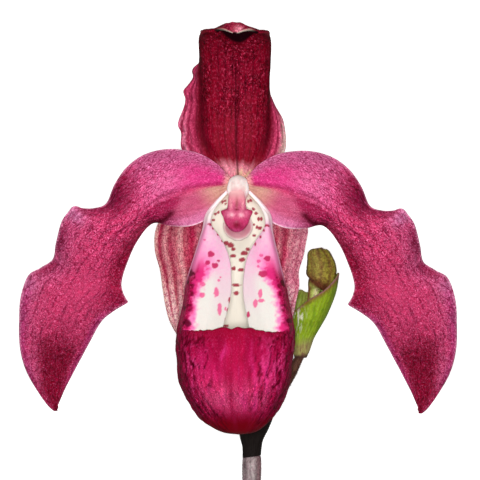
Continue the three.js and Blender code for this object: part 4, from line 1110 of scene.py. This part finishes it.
def column():
    """The column and its stigma: white on top, its sides painted lighter to cancel their shade,
    rose in the shade of the staminode, with a pale rim round the stigma's face."""
    grid, t, angle = flattened(COLUMN, rows=90, sides=60, press=column_press)
    x, y = grid[..., 0], grid[..., 1]
    blotch = cloud(x * 2.4, y * 1.6, 53)
    tint = washed(
        "#d4b8b4",
        ("#ece0dc", 0.9 * blotch * rise(y, -2.2, -0.4)),
        ("#dc8c98", 0.85 * rise(y + 0.8 * blotch, -0.4, -2.6)),
        ("#d8a868", 0.5 * blotch * rise(np.abs(x), 1.4, 2.3) * rise(y, -2.5, -1)),
        ("#d8a0a8", 0.8 * rise(t, 0.6, 0.75)),
        ("#b8687c", 0.75 * near(t, 0.9, 0.06)),
        ("#efdcd6", 0.8 * rise(t, 0.6, 0.7) * rise(np.hypot(x / 3.9, (y + 10.8) / 3.6), 0.75, 0.95)),
        ("#d9c49a", 0.5 * rise(t, 0.3, 0.2)),
        # painted light: the sides lightened against their shade
        ("#fff8f4", 0.9 * rise(np.abs(np.cos(angle)), 0.5, 0.9) * rise(y, -4.0, -2.0)),
        ("#fff8f4", 0.8 * rise(t, 0.36, 0.3) * rise(t, 0.2, 0.25)),
    )
    points, faces = capped(grid)
    grow("column", points, faces, with_ends(tint), points, COLUMN_TISSUE, ["column"])


def staminode():
    """The staminode: pale at the top, rose over its horns, and crimson in its hollows and at
    its foot. Painted shade darkens its groove, its notch and under its shoulders, and painted
    highlights lie low on either side of its face."""
    grid = flattened(STAMINODE, rows=120, sides=90, press=shield_press)[0]
    x, y = grid[..., 0], grid[..., 1]
    blotch = cloud(x * 1.2, y * 1.2, 52)
    tint = washed(
        "#c25074",
        ("#d8748a", rise(y, -5.8, -4.2)),
        ("#e2929c", rise(y, -4.8, -3.2)),
        ("#f2bcbc", rise(y, -3.8, -1.8)),
        # painted shade in the groove between the arms
        ("#8c4444", 0.85 * near(x, 0, 0.4) * near(y, -5.2, 1.5)),
        ("#bc3666", rise(y, -7.8, -9.6)),
        ("#e07c9e", 0.8 * blotch * near(y, -7.6, 0.9) * near(np.abs(x), 1.7, 1.0)),
        # painted highlights low on the shield, either side of its middle
        ("#f8b8c2", 0.75 * near(y, -8.0, 0.55) * near(np.abs(x + 0.1), 1.2, 0.6)),
        ("#ffb0b8", 0.6 * near(y, -5.4, 1.1) * near(np.abs(x), 1.5, 0.4)),
        ("#ac1c4e", 0.85 * rise(np.hypot(x / 3.9, (y + 8.6) / 3.6), 0.76, 1.0) * rise(y, -6.4, -7.2)),
        # painted shade under the shoulders
        ("#8c1c40", 0.7 * near(y, -6.6, 0.3) * rise(np.abs(x), 1.6, 2.4)),
        ("#780624", 0.95 * near(x, 0, 1.25) * near(y, -10.5, 1.0)),
        ("#b03a6c", 0.9 * rise(y, -11.3, -11.8)),
        # painted shade in the notch where the groove ends
        ("#7c0a2c", 0.9 * near(x, 0, 0.5) * near(y, -6.65, 0.3)),
    )
    tint = with_ends(with_painted_glints(tint, rise(y, -3.2, -5.0)))
    points, faces = capped(grid + [STAMINODE_X, 0, 0])
    grow("staminode", points, faces, tint, points, SHIELD_TISSUE, ["staminode"])


# waxy and white: light goes deep into it, and no net shows
COLUMN_TISSUE = tissue(
    "column_tissue", net=(3.0, 9.0), vein=0.0, grain=0.5, painted_glint=0.0, fleck=0.03, rough=0.36,
    shine=0.1, bump=0.02, soft=0.2)
# fleshy and a little glossier, with faint wet lights painted as highlights
SHIELD_TISSUE = tissue(
    "shield_tissue", net=(2.0, 5.0), vein=0.0, grain=0.45, painted_glint=0.3, fleck=0.12, rough=0.3,
    shine=0.1, bump=0.06)
column()
staminode()

# ==== ovary, stem and bud stalk ===============================================================
# The three-ribbed ovary leaves the stem's node, runs under the pouch and turns up into the back
# of the flower. The stem is finely hairy, grey with purple brown sides; its cut end shows pith.
# Past the node it runs on, thin and dark, to carry the bud.
STEM_RADIUS = 2.25
# [t, x, y, z, radius]
OVARY_PATH = through([
    [0, 2.6, -60.0, -20.2, 1.1], [0.06, 2.4, -57, -20.3, 1.55], [0.18, 2.2, -49, -20.6, 2.1],
    [0.36, 1.8, -34, -21.0, 2.6], [0.52, 0.9, -21, -21.5, 2.75], [0.64, 0.3, -11, -21.6, 2.8],
    [0.75, 0, -4.2, -18.4, 2.7], [0.86, 0, -1.0, -12.4, 2.6], [0.94, 0, -0.3, -7.0, 2.7],
    [1, 0, -0.2, -3.3, 2.8],
])
CUT_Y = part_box("stem")[0].y / MM - FLOWER_AT[1]  # where the stem was cut
STEM_PATH = through([
    [0, 2.9, CUT_Y, -21.6, STEM_RADIUS], [0.28, 3.3, -100, -21.3, STEM_RADIUS],
    [0.5, 3.4, -77, -20.9, STEM_RADIUS], [0.575, 3.48, -68.6, -20.5, STEM_RADIUS],
    [0.584, 3.5, -67.9, -20.5, 1.3], [0.6, 3.5, -66.4, -20.4, 1.2], [0.66, 4.5, -62.4, -20.0, 1.25],
    [0.74, 6.6, -57.6, -19.0, 1.4], [0.9, 12.3, -49.6, -17.0, 1.3], [1, 16.2, -42.0, -15.4, 1.0],
])


def beside(path, t, angle, shape=1.0):
    """Points beside a path t -> x, y, z, radius, where angle turns from the right side to the
    front; shape scales the radius."""
    x, y, z, radius = path(t)
    ahead = unit(np.moveaxis(heading(path, t, 1e-3)[:3], 0, -1))
    side = unit(np.array([1.0, 0, 0]) - ahead * ahead[..., :1])
    front = np.cross(side, ahead)
    centre = np.stack([x, y, z], -1)
    r = (radius * shape)[..., None]
    return centre + r * (side * np.cos(angle)[..., None] + front * np.sin(angle)[..., None])


def stalk(name, path, rows, sides, shape, colours, material):
    """A solid stalk along a path with flat ends, whose rims are eased. shape(t, angle) scales
    its radius and colours(t, angle, grid) gives its tint."""
    ends = np.array([0.0, 0.0008, 0.002])
    t = np.concatenate([ends, np.linspace(0.004, 0.996, rows), 1 - ends[::-1]])[:, None]
    angle = np.linspace(0, 2 * np.pi, sides, endpoint=False)[None, :]
    t, angle = np.broadcast_arrays(t, angle)
    easing = 1 - 0.12 * rise(np.minimum(t, 1 - t), 0.002, 0)
    grid = beside(path, t, angle, shape(t, angle) * easing)
    radius = path(t)[3]
    along = lengths(grid[:, 0], 0)[:, None]
    run = joined(radius * np.cos(angle), along, radius * np.sin(angle))
    points, faces = capped(grid)
    tint = with_ends(colours(t, angle, grid))
    grow(name, points, faces, tint, with_ends(run), material, [name])


def ribbed(t, angle):
    """Three ribs round the ovary, and shallow wrinkles."""
    return 1 + 0.06 * np.cos(3 * angle) + 0.015 * mottle(t * 90, angle * 4, 61)


def ovary_colours(t, angle, grid):
    """Dark brown with olive ribs, painted nearly black as shadow in its bract, and reddish by the
    flower.
    """
    return washed(
        "#4d3029",
        ("#6b5a35", 0.6 * near((angle * 3 / (2 * np.pi)) % 1, 0.5, 0.22)),
        ("#8a5a52", 0.6 * rise(t, 0.85, 1.0)),
        # painted shadow: nearly black where the bract's shade lies on it
        ("#241c19", 0.9 * rise(t, 0.2, 0.08)),
    )


def stem_shape(t, angle):
    """Nearly round, with faint lengthwise ridges."""
    return 1 + 0.012 * np.cos(9 * angle + 3 * t) + 0.01 * mottle(t * 60, angle * 5, 62)


def stem_colours(t, angle, grid):
    """Grey pink in the light with a purple brown right side, darker by the node, brown on the
    bud's stalk; the cut face is pale."""
    x_share = np.cos(angle)
    blotch = cloud(grid[..., 1] * 1.3, angle * 6, 63)
    flecks = rise(mottle(grid[..., 1] * 2.5, angle * 14, 64), 0.1, 0.7)
    return washed(
        "#a59695",
        ("#8a666a", 0.85 * rise(x_share, 0.35, 0.75)),
        ("#8d7c7e", 0.7 * rise(-x_share, 0.35, 0.8)),
        ("#cdc2c0", 0.55 * near(x_share, -0.05, 0.3) * blotch),
        ("#5b4548", 0.65 * flecks),
        ("#4a3128", rise(t, 0.57, 0.62)),
        ("#74503a", 0.6 * rise(t, 0.62, 0.7) * blotch),
        ("#c9c39a", rise(t, 0.002, 0.0)),
    )


# firm and dull, streaked lengthwise by its fibres
STEM_TISSUE = tissue(
    "stem_tissue", net=(0.9, 5.0), vein=0.3, grain=0.4, painted_glint=0.3, fleck=0.3, rough=0.4,
    shine=0.1, bump=0.06, painted_sheen="#55504f")
stalk("ovary", OVARY_PATH, rows=170, sides=48, shape=ribbed, colours=ovary_colours,
      material=STEM_TISSUE)
stalk("stem", STEM_PATH, rows=260, sides=48, shape=stem_shape, colours=stem_colours,
      material=STEM_TISSUE)

HAIRS = 5200
HAIR_LONG = 0.4  # the longest
HAIR_WIDE = 0.09  # real ones, 0.03 mm wide, would not show, so they are drawn coarser
HAIR_DEEP = 0.1  # how deep they are rooted


def stem_hairs():
    """The stem's short hairs, each a three-sided spike that leans towards the flower, rooted in
    the stem at a seeded random place."""
    draw = np.random.default_rng(65)
    t, angle = draw.uniform(0.004, 0.99, HAIRS), draw.uniform(0, 2 * np.pi, HAIRS)
    radius = STEM_PATH(t)[3]
    foot = beside(STEM_PATH, t, angle, 1 - HAIR_DEEP / radius)
    high = HAIR_LONG * draw.uniform(0.5, 1, HAIRS)
    tip = beside(STEM_PATH, np.minimum(t + 0.002, 0.999), angle, 1 + high / radius)
    out = unit(tip - foot)
    side = unit(np.cross(out, [0.0, 1.0, 0.0])) * HAIR_WIDE / 2
    turned = np.cross(out, side)
    ring = [foot + side, foot - side / 2 + turned, foot - side / 2 - turned]
    points = np.stack([*ring, tip], 1).reshape(-1, 3)
    each = np.array([[0, 1, 3, 3], [1, 2, 3, 3], [2, 0, 3, 3], [2, 1, 0, 0]])
    faces = (4 * np.arange(HAIRS)[:, None, None] + each).reshape(-1, 4)
    tint = np.repeat(washed("#c4b8b6", ("#6a4c44", rise(t, 0.57, 0.62))), 4, 0)
    grow("stem_hairs", points, faces, tint, points, STEM_TISSUE, [])


stem_hairs()

# ==== bracts ==================================================================================
# Each is a leaf rolled into a sheath. The flower's own is a funnel round the foot of the ovary,
# painted near black as the shadow that lies on it. The bud's is a green cup with parallel veins
# and a thin, purplish margin that slants down across its front.
BRACT_THICK = 0.62
FLAP = 1.0  # how far the left flap of the bud's bract stands out
PARALLEL_VEINS = 26  # how many run up a bract
FOOT_SLANT = 0.015  # how far the flower bract's foot slants up on the right, share
BUD_BRACT_AXIS = through([
    [0, 15.7, -43.5, -15.6, 1.3], [0.06, 15.8, -41.9, -15.4, 1.8], [0.22, 16.4, -38, -15.0, 2.5],
    [0.5, 18.5, -31.7, -14.4, 3.75], [0.75, 20.1, -26.2, -14.0, 4.25], [1, 21.2, -21.0, -13.7, 4.2],
])
# [turn, share of the axis]: turn 0 is the right side, 0.25 the front and 0.5 the left
BUD_BRACT_RIM = through([
    [0, 0.97], [0.1, 0.88], [0.2, 0.74], [0.3, 0.62], [0.4, 0.5], [0.48, 0.46], [0.56, 0.66],
    [0.66, 0.66], [0.8, 0.78], [0.92, 0.93], [1, 0.97],
])
FLOWER_BRACT_AXIS = through([
    [0, 3.45, -69.0, -20.5, 2.02], [0.12, 3.5, -66.0, -20.4, 2.1], [0.22, 3.5, -63.5, -20.3, 2.75],
    [0.34, 3.9, -60.3, -20.1, 3.8], [0.5, 4.4, -56.4, -20.0, 4.3], [0.72, 3.4, -52, -20.3, 3.7],
    [1, 2.2, -46, -20.6, 3.2],
])
FLOWER_BRACT_RIM = through([
    [0, 0.66], [0.12, 0.66], [0.25, 0.72], [0.4, 0.9], [0.5, 1.0], [0.62, 0.85], [0.75, 0.7],
    [0.88, 0.66], [1, 0.66],
])


def sheath(name, axis, rim, foot, cup, rows, cols, relief, colours, material):
    """A sheath round an axis: at each share of a turn it runs from foot(turn) to rim(turn),
    shares of the axis. A cup's foot is closed by a fan."""
    v = (1 - (1 - np.linspace(0, 1, rows)) ** 1.3)[:, None]
    turn = np.linspace(0, 1, cols, endpoint=False)[None, :]
    t = foot(turn) + v * (rim(turn)[0] - foot(turn))
    v, turn = np.broadcast_arrays(v, turn)
    grid = beside(axis, t, 2 * np.pi * turn)
    normals = facing(grid, wrap=True)
    centre = np.moveaxis(axis(t)[:3], 0, -1)
    normals *= np.sign((normals * (grid - centre)).sum())
    grid = grid + normals * relief(v, turn)[..., None]
    steps = lengths(grid, 0)
    inset = steps[-1:] - steps if cup else np.minimum(steps[-1:] - steps, steps + 0.1)
    thick = rounded(BRACT_THICK, inset).ravel()
    tints = [colours(v, turn, grid, face).reshape(-1, 3) for face in (1, -1)]
    run = joined(turn * 24, steps, 0.0)
    points, normals, run = (values.reshape(-1, 3) for values in (grid, normals, run))
    faces = weave(rows, cols, wrap=True)
    if cup:
        index = np.arange(cols)
        tip = np.full(cols, len(points))
        faces = np.concatenate([faces, np.stack([(index + 1) % cols, index, tip, tip], 1)])
        down = unit(-np.moveaxis(axis(0.02)[:3] - axis(0.0)[:3], 0, -1))
        points = np.concatenate([points, [grid[0].mean(0)]])
        normals, thick = np.concatenate([normals, [down]]), np.append(thick, BRACT_THICK)
        run = np.concatenate([run, [run[:cols].mean(0)]])
        tints = [np.concatenate([shade, shade[:1]]) for shade in tints]
    grow_sheet(name, points, faces, normals, thick, tints, [run, run], material, [name])


def bract_relief(v, turn):
    """Parallel veins as low ribs, and a slight waviness."""
    ribs = 0.05 * np.cos(2 * np.pi * PARALLEL_VEINS * turn + 2 * mottle(v * 3, turn * 5, 71))
    return ribs * rise(v, 0, 0.15) + 0.12 * mottle(v * 4, turn * 9, 72) * rise(v, 0, 0.2)


def bud_bract_relief(v, turn):
    """The same, and its left flap stands out from the bud."""
    return bract_relief(v, turn) + FLAP * near(turn, 0.52, 0.07) * rise(v, 0.2, 0.75)


def shadow_funnel_colours(v, turn, grid, face):
    """Nearly black as painted shadow, a little browner towards its rim and inside."""
    return washed(
        "#1f1a18",
        ("#3b3025", 0.5 * rise(v, 0.6, 1)),
        ("#2d2a20", 0.6 * (face < 0) + 0 * v),
    )


def bud_bract_colours(v, turn, grid, face):
    """Leaf green, yellower in the light and darker at the right, with a painted whitish highlight
    low on its left; purple brown along the margin, with a pale foot and a brown ring where it
    is joined."""
    x, y = grid[..., 0], grid[..., 1]
    veins = near((turn * PARALLEL_VEINS + 0.2 * mottle(v * 3, turn * 20, 73)) % 1, 0.5, 0.2)
    patch = rise(mottle(x * 1.1, y * 0.6, 74), 0.0, 0.6)
    streaks = rise(mottle(x * 3.0, y * 1.1, 75), -0.1, 0.4)
    slant = near(x - 0.6 * (y + 29), 17.2, 1.5)
    to_rim = (1 - v) * 12
    return washed(
        "#86a41c",
        ("#9cae48", 0.3 * veins),
        ("#5c8410", 0.5 * patch),
        ("#6d8c1c", 0.6 * rise(np.cos(2 * np.pi * turn), 0.5, 0.95)),
        # painted highlight: whitish streaks low on the left
        ("#f4f6e0", 0.9 * streaks * near(x, 15.4, 1.3) * near(y, -33.0, 3.4)),
        ("#7c5618", 0.8 * slant * near(y, -28.5, 2.6) * rise(v, 0.5, 0.75)),
        ("#a89468", 0.7 * rise(v, 0.34, 0.12)),
        ("#7c5444", 0.8 * streaks * rise(v, 0.25, 0.06)),
        ("#4a2c2a", 0.9 * rise(v, 0.06, 0.015)),
        ("#7c5430", 0.75 * rise(to_rim, 1.6, 0.3)),
        ("#8c5a60", 0.9 * rise(to_rim, 0.35, 0.1)),
        ("#93a84a", 0.6 * (face < 0)),
    )


# dry and dull, and painted near black as shadow
SHADOW_FUNNEL_TISSUE = tissue(
    "shadow_funnel_tissue", net=(0.8, 6.0), vein=0.2, grain=0.4, painted_glint=0.1, fleck=0.2, rough=0.5,
    shine=0.05, bump=0.05, painted_sheen="#1c1a18")
# a smooth leaf with a waxy gloss
LEAF_TISSUE = tissue(
    "leaf_tissue", net=(1.0, 6.0), vein=0.2, grain=0.4, painted_glint=0.2, fleck=0.15, rough=0.3,
    shine=0.12, bump=0.05, painted_sheen="#3c4030")
sheath("flower_bract", FLOWER_BRACT_AXIS, FLOWER_BRACT_RIM,
       foot=lambda turn: FOOT_SLANT * (1 + np.cos(2 * np.pi * turn)), cup=False, rows=70, cols=96,
       relief=bract_relief, colours=shadow_funnel_colours, material=SHADOW_FUNNEL_TISSUE)
sheath("bud_bract", BUD_BRACT_AXIS, BUD_BRACT_RIM, foot=lambda turn: 0 * turn, cup=True,
       rows=110, cols=130, relief=bud_bract_relief, colours=bud_bract_colours,
       material=LEAF_TISSUE)

# ==== bud =====================================================================================
# The closed bud stands on its green neck in the bract. Its head is olive brown and finely
# rough, with low ridges where the folded sepals meet.
BUD_AXIS = through([
    [0, 16.3, -40.2, -15.2, 0.9], [0.12, 16.9, -37.6, -14.9, 1.3], [0.35, 18.6, -31.4, -14.3, 1.5],
    [0.47, 19.0, -28.2, -14.2, 1.55], [0.53, 19.2, -26.6, -14.2, 1.65],
    [0.565, 19.5, -25.7, -14.1, 2.2], [0.6, 20.1, -24.9, -14.0, 3.1],
    [0.65, 20.6, -23.7, -13.9, 3.65], [0.71, 20.9, -22.2, -13.9, 3.75],
    [0.78, 20.8, -20.6, -13.8, 3.6], [0.86, 20.4, -18.9, -13.8, 3.2], [0.94, 19.85, -17.2, -13.7, 2.5],
    [1, 19.7, -16.3, -13.7, 1.3],
])


def bud_shape(t, angle):
    """Round at the neck, and ridged on the head."""
    head = rise(t, 0.56, 0.62)
    return 1 + head * (0.025 * np.cos(9 * angle + 1.5) + 0.02 * mottle(t * 40, angle * 5, 81))


def bud_colours(t, angle, grid):
    """Olive with brown ridges and specks on the head, a green neck with a pale ridge."""
    x, y = grid[..., 0], grid[..., 1]
    specks = rise(mottle(x * 2.2, y * 2.2, 82), 0.2, 0.8)
    ridge = near((angle * 9 / (2 * np.pi) + 0.24) % 1, 0.5, 0.2)
    return washed(
        "#948c34",
        ("#7c5a30", 0.75 * ridge),
        ("#5c3824", 0.65 * specks),
        ("#a79b52", 0.4 * near(angle, 2.0, 0.5)),
        ("#6a2c26", 0.85 * rise(y + 0.5 * (x - 17), -21.2, -23.8)),
        ("#86502f", 0.5 * rise(y, -16.8, -16.1)),
        ("#9fae52", rise(t, 0.58, 0.55)),
        ("#dcd7a0", 0.8 * rise(t, 0.57, 0.54) * near(angle, 1.3, 0.35)),
        ("#8c3a38", 0.8 * rise(t, 0.57, 0.54) * near(angle, 2.6, 0.4)),
    )


# leathery: rough enough to look dull, with a fine mesh of veins
BUD_TISSUE = tissue(
    "bud_tissue", net=(0.9, 1.6), vein=0.35, grain=0.4, painted_glint=0.35, fleck=0.25, rough=0.45,
    shine=0.08, bump=0.08, painted_sheen="#4a4430")
stalk("bud", BUD_AXIS, rows=170, sides=90, shape=bud_shape, colours=bud_colours,
      material=BUD_TISSUE)

# ==== table, light and camera =================================================================
# A plain pale table under soft studio light: two wide lamps beyond the flower's top light it
# slantwise, a small one hangs over its middle, and the pale room fills the shadows.
VIEW_CENTRE = np.array([0.5, -14.25, 0.0])  # where the camera looks, in the flower's frame
VIEW_WIDE = 120.0  # what it takes in across the middle of the flower
CAMERA_HIGH = 4800.0  # its height over the flower
SENSOR = 36.0
SIGHT = 100.0  # how far it sees, m
TABLE_SIZE = 6.0  # m
TABLE_GLOW = 0.55  # it is an opal light table, lit just enough to lift the shadows
ROOM_GLOW = 0.3


def lamp(name, place, size, watts):
    """A square soft light at a place in metres, turned to the middle of the flower."""
    data = bpy.data.lights.new(name, "AREA")
    data.energy = watts
    data.size = size
    holder = bpy.data.objects.new(name, data)
    holder.visible_camera = False
    holder.location = place
    middle = (FLOWER_AT + VIEW_CENTRE) * MM
    ray = np.array(place) - middle
    flat = math.hypot(ray[0], ray[1])
    holder.rotation_euler = (math.atan2(flat, ray[2]), 0, math.atan2(ray[1], ray[0]) + math.pi / 2)
    bpy.context.scene.collection.objects.link(holder)


def table():
    """The table's flat top, a matt white card that glows a little."""
    mesh = bpy.data.meshes.new("table")
    half = TABLE_SIZE / 2
    corners = [(-half, -half, 0), (half, -half, 0), (half, half, 0), (-half, half, 0)]
    mesh.from_pydata(corners, [], [(0, 1, 2, 3)])
    material = bpy.data.materials.new("matt_white_card")
    material.use_nodes = True
    shader = material.node_tree.nodes["Principled BSDF"]
    shader.inputs["Base Color"].default_value = (*linear("#f7f6f5"), 1)
    shader.inputs["Roughness"].default_value = 0.8
    shader.inputs["Emission Color"].default_value = (1, 1, 1, 1)
    shader.inputs["Emission Strength"].default_value = TABLE_GLOW
    mesh.materials.append(material)
    top = bpy.data.objects.new("table", mesh)
    top.visible_diffuse = False
    top.visible_glossy = False
    bpy.context.scene.collection.objects.link(top)


def camera():
    """A camera that looks straight down from so high that the view is nearly flat."""
    data = bpy.data.cameras.new("camera")
    data.sensor_width = SENSOR
    data.lens = SENSOR * CAMERA_HIGH / VIEW_WIDE
    data.clip_end = SIGHT
    holder = bpy.data.objects.new("camera", data)
    holder.location = (FLOWER_AT + VIEW_CENTRE + [0, 0, CAMERA_HIGH]) * MM
    bpy.context.scene.collection.objects.link(holder)
    bpy.context.scene.camera = holder


scene = bpy.context.scene
room = bpy.data.worlds.new("room")
room.use_nodes = True
room.node_tree.nodes["Background"].inputs["Color"].default_value = (*linear("#fbfbfb"), 1)
room.node_tree.nodes["Background"].inputs["Strength"].default_value = ROOM_GLOW
scene.world = room
table()
lamp("lamp_beyond", place=(-0.15, 0.75, 0.6), size=0.4, watts=1.8)
lamp("lamp_above", place=(0.1, 0.6, 1.1), size=0.4, watts=3.6)
lamp("lamp_front", place=(0.0, 0.0, 1.3), size=0.13, watts=11.5)
camera()
scene.view_settings.view_transform = "Standard"
scene.cycles.use_denoising = True
